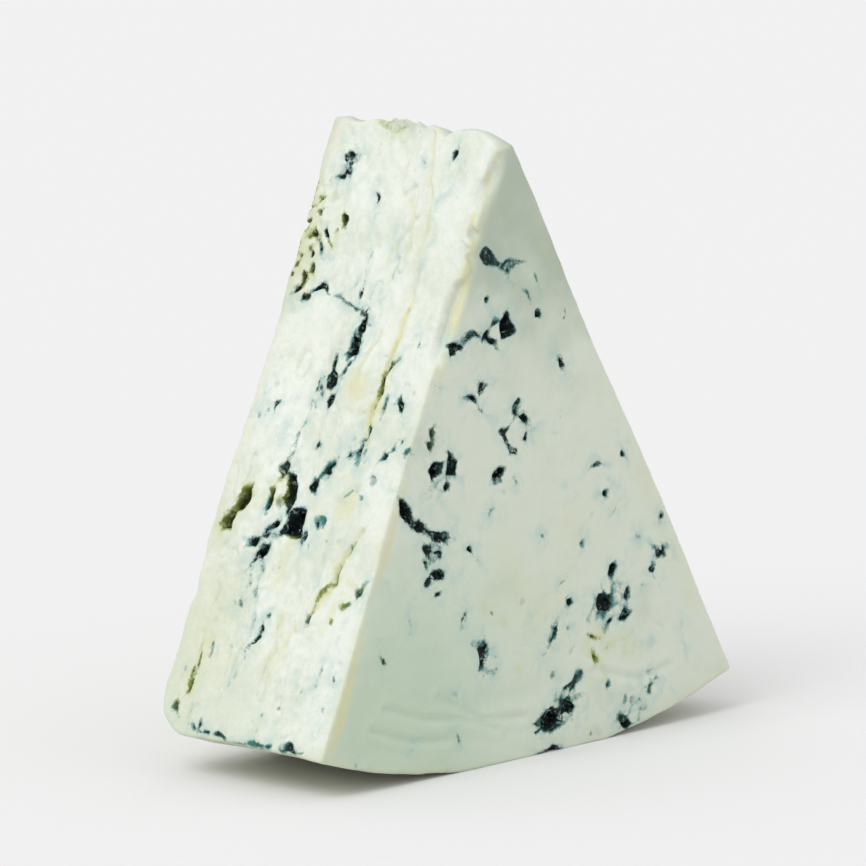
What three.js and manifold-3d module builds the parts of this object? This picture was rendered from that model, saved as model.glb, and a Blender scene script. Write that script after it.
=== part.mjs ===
// A tall wedge of blue cheese, cut from a low round wheel.
//
// Millimetres, +Z up. The wedge stands on a settled strip of its rind with its tip upwards, so the
// wheel's axis runs along Y through the tip. One flat end of the wheel faces -Y and is a fresh cut
// with a crisp edge; the other faces +Y and keeps the wheel's own rounded rim. The side towards -X
// is torn and crumbly, and the side towards +X is cut clean. The origin is under the middle of the
// wedge, on the surface that it stands on. The wedge is one natural piece, so it is one mesh.

import * as THREE from 'three';
import { mergeVertices } from 'three/addons/utils/BufferGeometryUtils.js';
import Module from 'manifold-3d';

const { degToRad, smoothstep } = THREE.MathUtils;

// ---- Driving dimensions ----
const WHEEL_RADIUS = 102;               // tip to rind, down either side
const WHEEL_HEIGHT = 39;                // end to end along Y
const HALF_ANGLE = degToRad(25);        // half of the wedge's angle at the tip
const RIND_BOW = 124;                   // radius of the rind, which has slumped flatter than the wheel
const BASE_SETTLE = 1.0;                // how far the rind has settled flat where it stands
const RIM_ROUND = 7;                    // the wheel's own rim, at +Y
const CUT_ROUND = 0.8;                  // the crisp rim, at -Y
const TIP_ROUND = 1.2;                  // blunt tip
const RIDGE_WEAR = 0.9;                 // how unevenly the tip has crumbled
const CURD_RELIEF = 0.22;               // how uneven the torn side is
const LEDGE_DROP = 0.7;                 // step down beside the proud band on the torn side
const LEDGE_ACROSS = 10.5;              // that step's distance from the -Y end
const LEDGE_HALF_WIDTH = 2;             // half of the slope between the two levels
const LEDGE_END = 80;                   // distance down from the tip where the ledge has died away
const RIND_CALM = 88;                   // distance down from the tip where the tearing ends

// ---- Fineness ----
const SIDE_POINTS = 20;                 // points down each side
const TIP_POINTS = 4;                   // segments round the blunt tip
const RIND_POINTS = 20;                 // segments along the rind
const MIDDLE_STATIONS = 11;             // steps along Y between the two rims
const CUT_STATIONS = 2;                 // steps along Y round the crisp rim
const RIM_STATIONS = 5;                 // steps along Y round the wheel's own rim

const HALF_HEIGHT = WHEEL_HEIGHT / 2;
const HALF_WIDTH = WHEEL_RADIUS * Math.sin(HALF_ANGLE);
const BOW_ANGLE = Math.asin(HALF_WIDTH / RIND_BOW);
const BOW_CENTRE = RIND_BOW * Math.cos(BOW_ANGLE) - WHEEL_RADIUS * Math.cos(HALF_ANGLE);
const SIDE_DIRECTION = new THREE.Vector2(Math.sin(HALF_ANGLE), -Math.cos(HALF_ANGLE));
const SIDE_NORMAL = new THREE.Vector2(Math.cos(HALF_ANGLE), Math.sin(HALF_ANGLE));

// ---- Mould cavities, placed by hand ----
// Torn side: distance down from the tip, across from the -Y end, length, width, depth, turn in degrees.
const TORN_CAVITIES = [
  [64, 34, 8, 4.5, 2.6, 20],
  [64, 22, 7, 5.5, 3.2, -10],
  [57, 25, 8, 2.4, 2.0, -14],
  [38, 10, 7, 3.2, 2.6, 10],
  [34, 19, 9, 2.0, 2.0, -4],
  [42, 22, 7, 2.4, 2.2, -12],
  [52, 12, 4, 3.6, 1.2, 0],
  [68, 28, 5, 3.4, 1.6, 60],
  [8, 31, 5, 3.4, 1.0, 0],
  [22, 35, 5, 2.6, 1.4, 25],
  [83, 22, 5, 1.8, 1.2, 18],
];
// Crisp end: place along X, height below the tip, length, width, depth, turn in degrees.
const END_CAVITIES = [
  [-4, 30, 6, 4.6, 2.2, 20],
  [-12, 30, 3.5, 2.4, 1.4, 70],
  [0, 47, 5, 3.4, 1.2, 10],
  [-15, 49, 6, 3.4, 1.6, -20],
  [-5, 53, 3.4, 2.2, 1.4, 50],
  [-21, 58, 8, 2.8, 2.0, 40],
  [17, 76, 5.6, 4.4, 1.8, 0],
  [-9, 80, 5, 3.4, 1.4, 30],
  [7, 91, 6, 5.0, 2.2, -30],
  [10, 42, 3, 1.8, 1.0, 0],
];
// Crumbs lost from the edge between the torn side and the crisp end: distance down, size.
const EDGE_CHIPS = [[6, 3.6], [14, 2.8], [24, 2.2]];

const CLEAN_CAVITY_COUNT = 12;          // on the clean-cut side
const FAR_CAVITY_COUNT = 9;             // on the wheel's own end
const CAVITY_MARGIN = 7;                // how far the scattered ones keep from an edge
const CAVITY_ROUGHNESS = 0.28;          // how angular a cavity is

const wasm = await Module();
wasm.setup();

/** A repeatable random sequence of numbers in 0..1. */
function randomSequence(seed) {
  let state = seed;
  return () => {
    state = (state * 1664525 + 1013904223) % 4294967296;
    return state / 4294967296;
  };
}

/** The next number of a random sequence, between two limits. */
function between(random, low, high) {
  return low + (high - low) * random();
}

/** Keeps only the positions of a geometry and joins the corners that coincide. */
function welded(geometry) {
  geometry.deleteAttribute('normal');
  geometry.deleteAttribute('uv');
  return mergeVertices(geometry, 1e-4);
}

/** A manifold solid from a welded geometry. */
function toSolid(geometry) {
  return new wasm.Manifold(new wasm.Mesh({
    numProp: 3,
    vertProperties: Float32Array.from(geometry.attributes.position.array),
    triVerts: Uint32Array.from(geometry.index.array),
  }));
}

/** A three.js geometry from a manifold solid. */
function toGeometry(solid) {
  const mesh = solid.getMesh();
  const geometry = new THREE.BufferGeometry();
  geometry.setAttribute('position', new THREE.BufferAttribute(Float32Array.from(mesh.vertProperties), 3));
  geometry.setIndex(new THREE.BufferAttribute(Uint32Array.from(mesh.triVerts), 1));
  return geometry;
}

// ---- The wedge's own shape, with the wheel's axis along Y through the origin ----

/** The outline seen along Y: up one side, round the blunt tip, down the other and along the rind. */
function sectorShape() {
  const tangent = TIP_ROUND / Math.tan(HALF_ANGLE);
  const tipCentre = -TIP_ROUND / Math.sin(HALF_ANGLE);
  const points = [];
  for (let i = SIDE_POINTS; i >= 1; i -= 1) {
    const down = tangent + ((WHEEL_RADIUS - tangent) * i) / SIDE_POINTS;
    points.push(SIDE_DIRECTION.clone().multiplyScalar(down));
  }
  for (let i = 0; i <= TIP_POINTS; i += 1) {
    const turn = HALF_ANGLE + ((Math.PI - 2 * HALF_ANGLE) * i) / TIP_POINTS;
    points.push(new THREE.Vector2(TIP_ROUND * Math.cos(turn), tipCentre + TIP_ROUND * Math.sin(turn)));
  }
  for (let i = 1; i <= SIDE_POINTS; i += 1) {
    const mirrored = points[SIDE_POINTS - i];
    points.push(new THREE.Vector2(-mirrored.x, mirrored.y));
  }
  for (let i = 1; i < RIND_POINTS; i += 1) {
    const turn = -BOW_ANGLE + (2 * BOW_ANGLE * i) / RIND_POINTS;
    points.push(new THREE.Vector2(RIND_BOW * Math.sin(turn), BOW_CENTRE - RIND_BOW * Math.cos(turn)));
  }
  return new THREE.Shape(points);
}

/** The places along Y that the outline is swept through, closer together round each rim. */
function depthStations() {
  const stations = [];
  for (let i = 0; i < CUT_STATIONS; i += 1) {
    const turn = (Math.PI / 2) * (i / CUT_STATIONS);
    stations.push(-HALF_HEIGHT + CUT_ROUND * (1 - Math.cos(turn)));
  }
  const middle = WHEEL_HEIGHT - CUT_ROUND - RIM_ROUND;
  for (let i = 0; i < MIDDLE_STATIONS; i += 1) {
    stations.push(-HALF_HEIGHT + CUT_ROUND + (middle * i) / MIDDLE_STATIONS);
  }
  for (let i = 0; i <= RIM_STATIONS; i += 1) {
    const turn = (Math.PI / 2) * (i / RIM_STATIONS);
    stations.push(HALF_HEIGHT - RIM_ROUND + RIM_ROUND * Math.sin(turn));
  }
  return stations;
}

/** How far the rind is drawn in at a place along Y, for the two rims. */
function rimInset(y) {
  const intoCut = -HALF_HEIGHT + CUT_ROUND - y;
  const intoRim = y - (HALF_HEIGHT - RIM_ROUND);
  if (intoCut > 0) {
    return CUT_ROUND - Math.sqrt(Math.max(0, CUT_ROUND ** 2 - intoCut ** 2));
  }
  return intoRim > 0 ? RIM_ROUND - Math.sqrt(Math.max(0, RIM_ROUND ** 2 - intoRim ** 2)) : 0;
}

/** How far the torn side stands proud, at a distance down from the tip and a place along Y. */
function tornRelief(down, y) {
  const across = y + HALF_HEIGHT;
  const waves = Math.sin(down * 0.21 + across * 0.13)
    + 0.7 * Math.sin(down * 0.37 - across * 0.29 + 1.3)
    + 0.5 * Math.sin(down * 0.08 + across * 0.61 + 2.1);
  const ledge = smoothstep(across, LEDGE_ACROSS - LEDGE_HALF_WIDTH, LEDGE_ACROSS + LEDGE_HALF_WIDTH)
    * (1 - smoothstep(down, LEDGE_END - 20, LEDGE_END));
  return (CURD_RELIEF * waves - LEDGE_DROP * ledge) * (1 - smoothstep(down, RIND_CALM - 10, RIND_CALM));
}

/** How far the tip has crumbled away at a place along Y. */
function tipWear(y) {
  return RIDGE_WEAR * (0.5 + 0.5 * Math.sin(y * 0.42 + 0.6) * Math.cos(y * 0.83));
}

/** Moves one corner of the plain swept outline to its real place. */
function shaped(corner) {
  const fromTip = Math.hypot(corner.x, corner.z);
  const bowed = Math.hypot(corner.x, corner.z - BOW_CENTRE);
  const down = -corner.x * SIDE_DIRECTION.x + corner.z * SIDE_DIRECTION.y;
  const off = -corner.x * SIDE_NORMAL.x + corner.z * SIDE_NORMAL.y;
  const nearRind = Math.max(0, bowed - (RIND_BOW - 2 * RIM_ROUND)) / (2 * RIM_ROUND);
  const drawnIn = 1 - (rimInset(corner.y) * nearRind) / bowed;
  corner.x *= drawnIn;
  corner.z = BOW_CENTRE + (corner.z - BOW_CENTRE) * drawnIn;
  if (off > -1e-6) {
    const relief = tornRelief(down, corner.y);
    corner.x -= SIDE_NORMAL.x * relief;
    corner.z += SIDE_NORMAL.y * relief;
  }
  if (fromTip <= TIP_ROUND / Math.sin(HALF_ANGLE)) {
    corner.z -= tipWear(corner.y);
  }
  corner.z = Math.max(corner.z, BOW_CENTRE - RIND_BOW + BASE_SETTLE);
  return corner;
}

/** The wedge before its cavities: the outline swept along Y, then shaped corner by corner. */
function wedgeGeometry() {
  const stations = depthStations();
  const steps = stations.length - 1;
  const sweep = { depth: steps, steps, bevelEnabled: false };
  const swept = welded(new THREE.ExtrudeGeometry(sectorShape(), sweep));
  const places = swept.attributes.position;
  for (let i = 0; i < places.count; i += 1) {
    const y = stations[steps - Math.round(places.getZ(i))];
    const corner = shaped(new THREE.Vector3(places.getX(i), y, places.getY(i)));
    places.setXYZ(i, corner.x, corner.y, corner.z);
  }
  return swept;
}

// ---- Cavities ----

/** An angular lump, longest along X, whose lower half makes a cavity when cut from a surface. */
function cavityGeometry(length, width, depth, random) {
  const lump = welded(new THREE.IcosahedronGeometry(1, 1));
  const places = lump.attributes.position;
  for (let i = 0; i < places.count; i += 1) {
    const reach = 1 + between(random, -CAVITY_ROUGHNESS, CAVITY_ROUGHNESS / 2);
    places.setXYZ(i, places.getX(i) * reach, places.getY(i) * reach, places.getZ(i) * reach);
  }
  return lump.scale(length / 2, width / 2, depth);
}

/** A frame on a surface: its origin, its long direction and its outward normal, then a turn in it. */
function surfaceFrame(origin, along, normal, turn) {
  const across = new THREE.Vector3().crossVectors(normal, along);
  const frame = new THREE.Matrix4().makeBasis(along, across, normal).setPosition(origin);
  return frame.multiply(new THREE.Matrix4().makeRotationZ(degToRad(turn)));
}

/** A frame on either straight side, with sign -1 for the torn side and 1 for the clean one. */
function sideFrame(sign, down, across, turn) {
  const y = across - HALF_HEIGHT;
  const along = new THREE.Vector3(sign * SIDE_DIRECTION.x, 0, SIDE_DIRECTION.y);
  const normal = new THREE.Vector3(sign * SIDE_NORMAL.x, 0, SIDE_NORMAL.y);
  const origin = along.clone().multiplyScalar(down).setY(y);
  if (sign < 0) {
    origin.addScaledVector(normal, tornRelief(down, y));
  }
  return surfaceFrame(origin, along, normal, turn);
}

/** A frame on either end, with sign -1 for the crisp end and 1 for the wheel's own. */
function endFrame(sign, x, below, turn) {
  const origin = new THREE.Vector3(x, sign * HALF_HEIGHT, -below);
  return surfaceFrame(origin, new THREE.Vector3(0, 0, -1), new THREE.Vector3(0, sign, 0), turn);
}

/** Every cavity and chip as a solid, hand-placed ones first. */
function cavitySolids() {
  const random = randomSequence(11);
  const solids = [];
  const add = (frame, length, width, depth) => {
    solids.push(toSolid(cavityGeometry(length, width, depth, random).applyMatrix4(frame)));
  };
  for (const [down, across, length, width, depth, turn] of TORN_CAVITIES) {
    add(sideFrame(-1, down, across, turn), length, width, depth);
  }
  for (const [x, below, length, width, depth, turn] of END_CAVITIES) {
    add(endFrame(-1, x, below, turn), length, width, depth);
  }
  for (const [down, size] of EDGE_CHIPS) {
    add(sideFrame(-1, down, 0, 0), size * 1.8, size, size / 2);
  }
  for (let i = 0; i < CLEAN_CAVITY_COUNT; i += 1) {
    const down = between(random, 4 * CAVITY_MARGIN, WHEEL_RADIUS - CAVITY_MARGIN);
    const across = between(random, CAVITY_MARGIN, WHEEL_HEIGHT - CAVITY_MARGIN);
    const length = between(random, 3, 7);
    add(sideFrame(1, down, across, between(random, -60, 60)), length, length * 0.6, length * 0.3);
  }
  for (let i = 0; i < FAR_CAVITY_COUNT; i += 1) {
    const below = between(random, 5 * CAVITY_MARGIN, WHEEL_RADIUS - RIM_ROUND - CAVITY_MARGIN);
    const reach = below * Math.tan(HALF_ANGLE) - CAVITY_MARGIN;
    const length = between(random, 2, 4);
    const frame = endFrame(1, between(random, -reach, reach), below, between(random, 0, 90));
    add(frame, length, length * 0.8, length * 0.3);
  }
  return solids;
}

// ---- The finished part ----

/** The wedge with its cavities cut, standing on its base with the origin under its middle. */
function finishedGeometry() {
  let wedge = toSolid(wedgeGeometry());
  for (const cavity of cavitySolids()) {
    wedge = wedge.subtract(cavity);
  }
  const geometry = toGeometry(wedge);
  geometry.computeBoundingBox();
  const middle = geometry.boundingBox.getCenter(new THREE.Vector3());
  geometry.translate(-middle.x, -middle.y, -geometry.boundingBox.min.z);
  geometry.computeVertexNormals();
  return geometry;
}

const cheese = new THREE.MeshStandardMaterial({ color: 0xe6e9d8, roughness: 0.55, metalness: 0 });
const wedge = new THREE.Mesh(finishedGeometry(), cheese);
wedge.name = 'cheese_wedge';

const group = new THREE.Group();
group.add(wedge);

export default group;
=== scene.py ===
"""A tall wedge of blue cheese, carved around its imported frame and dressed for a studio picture.

The wedge is carved the way the real one comes about: a sector of a low wheel, one side torn and
crumbly, one side and one end cut, the other end and the rind grown by the wheel itself. All of it
is worked out as distances in a fine block of voxels, mould cavities are taken out of it, and the
skin of what is left becomes one closed mesh. Carving is in millimetres and the scene in metres.
"""

import logging
import math
from dataclasses import dataclass, field
from enum import Enum
from typing import Iterable, Sequence, Union

import bpy
import numpy as np
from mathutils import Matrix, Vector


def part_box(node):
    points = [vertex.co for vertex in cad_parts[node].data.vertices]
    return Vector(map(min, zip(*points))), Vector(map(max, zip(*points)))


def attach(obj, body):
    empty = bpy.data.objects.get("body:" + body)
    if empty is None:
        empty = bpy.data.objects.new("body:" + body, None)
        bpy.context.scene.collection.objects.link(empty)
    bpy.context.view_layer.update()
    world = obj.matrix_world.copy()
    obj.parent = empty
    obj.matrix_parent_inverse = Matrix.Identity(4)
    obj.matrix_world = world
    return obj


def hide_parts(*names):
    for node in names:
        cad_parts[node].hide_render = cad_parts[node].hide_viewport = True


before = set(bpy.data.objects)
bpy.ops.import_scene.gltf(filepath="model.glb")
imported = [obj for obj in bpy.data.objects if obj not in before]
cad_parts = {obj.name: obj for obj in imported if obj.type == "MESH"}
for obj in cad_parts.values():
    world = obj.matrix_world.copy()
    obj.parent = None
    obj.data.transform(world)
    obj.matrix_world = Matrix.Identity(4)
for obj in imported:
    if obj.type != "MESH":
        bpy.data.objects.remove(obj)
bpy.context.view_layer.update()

import openvdb
from mathutils import Matrix, Vector

LOG = logging.getLogger("cheese")
NODE = "cheese_wedge"
MM = 0.001


class Side(Enum):
    """The five faces of the wedge."""

    TORN = "torn"
    CLEAN = "clean"
    CUT_END = "cut_end"
    WHEEL_END = "wheel_end"
    RIND = "rind"


class Form(Enum):
    """How a cavity is broken open."""

    OPEN = "open"
    CLUSTER = "cluster"
    SLIT = "slit"


class Mould(Enum):
    """What grows in a cavity: how olive it is, from 0 for blue to 1."""

    BLUE = 0.0
    MIXED = 0.45
    OLIVE = 1.0


# ---- Sizes ----


@dataclass(frozen=True)
class WedgeSizes:
    """Sizes of the wedge in millimetres.

    Attributes:
        half_width: Half of the width across the rind.
        half_depth: Half of the distance between the two ends.
        half_angle: Half of the angle at the tip, in radians.
        bow: Radius that the rind is bowed to, flatter than the wheel was.
        settle: How far the rind has settled flat where it stands.
        worn: How much of the tip is worn away.
        rim: Radius of the wheel's own rim.
        crisp: Softness of a fresh-cut edge.
        blunt: Softness of an edge against the wheel's own skin.
    """

    half_width: float
    half_depth: float
    half_angle: float = math.radians(25.0)
    bow: float = 124.0
    settle: float = 1.0
    worn: float = 1.7
    rim: float = 7.0
    crisp: float = 0.4
    blunt: float = 0.6

    @classmethod
    def from_frame(cls) -> "WedgeSizes":
        """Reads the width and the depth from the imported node."""
        low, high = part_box(NODE)
        return cls((high.x - low.x) / 2 / MM, (high.y - low.y) / 2 / MM)

    @property
    def radius(self) -> float:
        """Distance from the wheel's axis to the rind, down either side."""
        return self.half_width / math.sin(self.half_angle)

    @property
    def axis_height(self) -> float:
        """Height of the wheel's axis above the surface that the wedge stands on."""
        sag = self.bow - math.sqrt(self.bow**2 - self.half_width**2)
        return self.radius * math.cos(self.half_angle) + sag - self.settle

    @property
    def bow_height(self) -> float:
        """Height of the middle of the rind's bow above the same surface."""
        return self.bow - self.settle


@dataclass(frozen=True)
class SideFrame:
    """A flat side's own directions: down from the worn tip, across, and out of the wedge."""

    origin: np.ndarray
    down: np.ndarray
    across: np.ndarray
    out: np.ndarray

    def local(self, points: np.ndarray) -> np.ndarray:
        """Gives points their places in the side's own directions.

        Args:
            points: Places in the wedge's frame, one row each.

        Returns:
            Down, across and out for each point, one row each.
        """
        return (points - self.origin) @ np.stack([self.down, self.across, self.out], axis=1)


def side_frames(sizes: WedgeSizes) -> dict[Side, SideFrame]:
    """Works out the frames of the four flat sides.

    Args:
        sizes: The wedge's sizes.

    Returns:
        The frame of each flat side.
    """
    sine, cosine = math.sin(sizes.half_angle), math.cos(sizes.half_angle)
    near = np.array([0.0, -sizes.half_depth, sizes.axis_height])
    far = np.array([0.0, sizes.half_depth, sizes.axis_height])
    x_axis, y_axis, down = np.array([1.0, 0, 0]), np.array([0, 1.0, 0]), np.array([0, 0, -1.0])
    torn_down, clean_down = np.array([-sine, 0, -cosine]), np.array([sine, 0, -cosine])
    torn_out, clean_out = np.array([-cosine, 0, sine]), np.array([cosine, 0, sine])
    worn = sizes.worn
    return {
        Side.TORN: SideFrame(near + worn * torn_down, torn_down, y_axis, torn_out),
        Side.CLEAN: SideFrame(near + worn * clean_down, clean_down, y_axis, clean_out),
        Side.CUT_END: SideFrame(near + worn * down, down, x_axis, -y_axis),
        Side.WHEEL_END: SideFrame(far + worn * down, down, x_axis, y_axis),
    }


# ---- Smooth random fields ----


def smoothstep(low: float, high: float, value: np.ndarray) -> np.ndarray:
    """Rises smoothly from 0 at low to 1 at high.

    Args:
        low: Where the rise starts.
        high: Where it ends.
        value: The values to shape.

    Returns:
        The shaped values.
    """
    t = np.clip((value - low) / (high - low), 0.0, 1.0)
    return t * t * (3.0 - 2.0 * t)


def soft_max(a: np.ndarray, b: np.ndarray, width: Union[float, np.ndarray]) -> np.ndarray:
    """The larger of two distances, with the crease between them rounded off.

    Args:
        a: One distance.
        b: The other distance.
        width: How far the rounding reaches.

    Returns:
        The joined distance.
    """
    bridge = np.maximum(width - np.abs(a - b), 0.0)
    return np.maximum(a, b) + bridge * bridge / (4.0 * width)


def bell(value: np.ndarray, width: float) -> np.ndarray:
    """1 where a value is zero, falling away smoothly over a width."""
    return np.exp(-((value / width) ** 2))


def thread(value: np.ndarray, width: float) -> np.ndarray:
    """1 where a value is zero, falling in a straight line to 0 at a width."""
    return np.clip(1 - np.abs(value) / width, 0, 1)


class RandomFields:
    """A source of smooth random fields, the same on every run."""

    def __init__(self, seed: int) -> None:
        """Starts the source from a seed."""
        self.generator = np.random.default_rng(seed)

    @staticmethod
    def _spread(count: int, step: float, spacing: float) -> np.ndarray:
        """Cubic weights that spread coarse values over a fine axis.

        Args:
            count: Samples on the fine axis.
            step: Distance between them.
            spacing: Distance between the coarse values.

        Returns:
            A matrix with a row for each coarse value and a column for each sample.
        """
        place = np.arange(count) * step / spacing + 1.0
        cell = np.floor(place).astype(int)
        t = place - cell
        weights = np.zeros((cell[-1] + 3, count), np.float32)
        column = np.arange(count)
        weights[cell - 1, column] = (1 - t) ** 3 / 6
        weights[cell, column] = (3 * t**3 - 6 * t**2 + 4) / 6
        weights[cell + 1, column] = (-3 * t**3 + 3 * t**2 + 3 * t + 1) / 6
        weights[cell + 2, column] = t**3 / 6
        return weights

    def field(self, counts: Sequence[int], step: float, spacings: Sequence[float]) -> np.ndarray:
        """Makes a smooth field with unit spread.

        Args:
            counts: Samples along each axis.
            step: Distance between samples.
            spacings: Size of the features along each axis.

        Returns:
            The field, in single precision.
        """
        spreads = [self._spread(n, step, s) for n, s in zip(counts, spacings)]
        values = self.generator.standard_normal([m.shape[0] for m in spreads], dtype=np.float32)
        for spread in spreads:
            values = np.tensordot(values, spread, axes=(0, 0))
        return np.ascontiguousarray(values / values.std())


# ---- Relief of one side ----


@dataclass
class Relief:
    """Height of a side over its flat, and how creamy it is, on an even grid.

    Attributes:
        low: The grid's lowest place, down and across.
        step: Distance between samples.
        height: Height at each sample, out of the wedge.
        cream: Cream-coloured seams at each sample, 0 to 1.
    """

    low: tuple[float, float]
    step: float
    height: np.ndarray
    cream: np.ndarray

    def _cell(self, down: np.ndarray, across: np.ndarray) -> tuple:
        """Finds the grid cell and the place in it for each point.

        Args:
            down: Distances down from the tip.
            across: Places across.

        Returns:
            The cell's row and column, and how far along each the point is.
        """
        rows, columns = self.height.shape
        i = np.clip((down - self.low[0]) / self.step, 0, rows - 1.001)
        j = np.clip((across - self.low[1]) / self.step, 0, columns - 1.001)
        i0, j0 = i.astype(int), j.astype(int)
        return i0, j0, (i - i0).astype(np.float32), (j - j0).astype(np.float32)

    def sample(self, values: np.ndarray, down: np.ndarray, across: np.ndarray) -> np.ndarray:
        """Reads a map between its samples.

        Args:
            values: The height or cream map.
            down: Distances down from the tip.
            across: Places across.

        Returns:
            The map's value at each point.
        """
        i, j, s, t = self._cell(*np.broadcast_arrays(down, across))
        top = values[i, j] * (1 - t) + values[i, j + 1] * t
        bottom = values[i + 1, j] * (1 - t) + values[i + 1, j + 1] * t
        return top * (1 - s) + bottom * s


@dataclass(frozen=True)
class Seam:
    """A creamy seam on the torn side, in millimetres.

    Attributes:
        route: Points on it, down and across.
        cut: How deep it is.
        cream: How creamy it is, from 0 to 1.
        width: How far the cream reaches from it.
    """

    route: tuple[tuple[float, float], ...]
    cut: float
    cream: float
    width: float


@dataclass
class Sheet:
    """The places where one side's relief is worked out, and random fields over them.

    Attributes:
        fields: Where the random fields come from.
        step: Distance between samples.
        low: The lowest place, down and across.
        down: Places down the side, as a column.
        across: Places across it, as a row.
    """

    fields: RandomFields
    step: float
    low: tuple[float, float]
    down: np.ndarray
    across: np.ndarray

    def noise(self, along: float, wide: float) -> np.ndarray:
        """A field with features of one length and one width."""
        return self.fields.field((self.down.size, self.across.size), self.step, (along, wide))

    def swells(self, *layers: tuple[float, float, float]) -> np.ndarray:
        """Adds up fields, each given by its height and by its features' length and width."""
        return sum(height * self.noise(along, wide) for height, along, wide in layers)

    def patches(self, low: float, high: float, along: float, wide: float) -> np.ndarray:
        """1 where a field is above high and 0 where it is below low, so a high pair leaves a few pores."""
        return smoothstep(low, high, self.noise(along, wide))

    def lines(self, along: float, wide: float, width: float) -> np.ndarray:
        """Fine lines, 1 along their middle, that wind between features of a size.

        Args:
            along: Length of the features.
            wide: Width of the features.
            width: Width of the lines, as a part of the field's spread.

        Returns:
            How much of a line is at each sample.
        """
        return thread(self.swells((1.0, along, wide), (0.35, along / 4, wide / 1.5)), width)

    def seam(self, route: Sequence[tuple[float, float]], wander: np.ndarray) -> np.ndarray:
        """Distance from a seam that wanders about its route.

        Args:
            route: Points on the seam, down and across.
            wander: How far the seam strays sideways at each sample.

        Returns:
            The distance at each sample.
        """
        across = self.across + wander
        nearest = np.full(wander.shape, 99.0, np.float32)
        for (d0, a0), (d1, a1) in zip(route, route[1:]):
            run, rise = d1 - d0, a1 - a0
            t = np.clip(((self.down - d0) * run + (across - a0) * rise) / (run * run + rise * rise), 0, 1)
            nearest = np.minimum(nearest, np.hypot(self.down - d0 - t * run, across - a0 - t * rise))
        return nearest

    def relief(self, height: np.ndarray, cream: np.ndarray) -> Relief:
        """Packs up the height and the cream of the side."""
        return Relief(self.low, self.step, height.astype(np.float32), cream.astype(np.float32))


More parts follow.
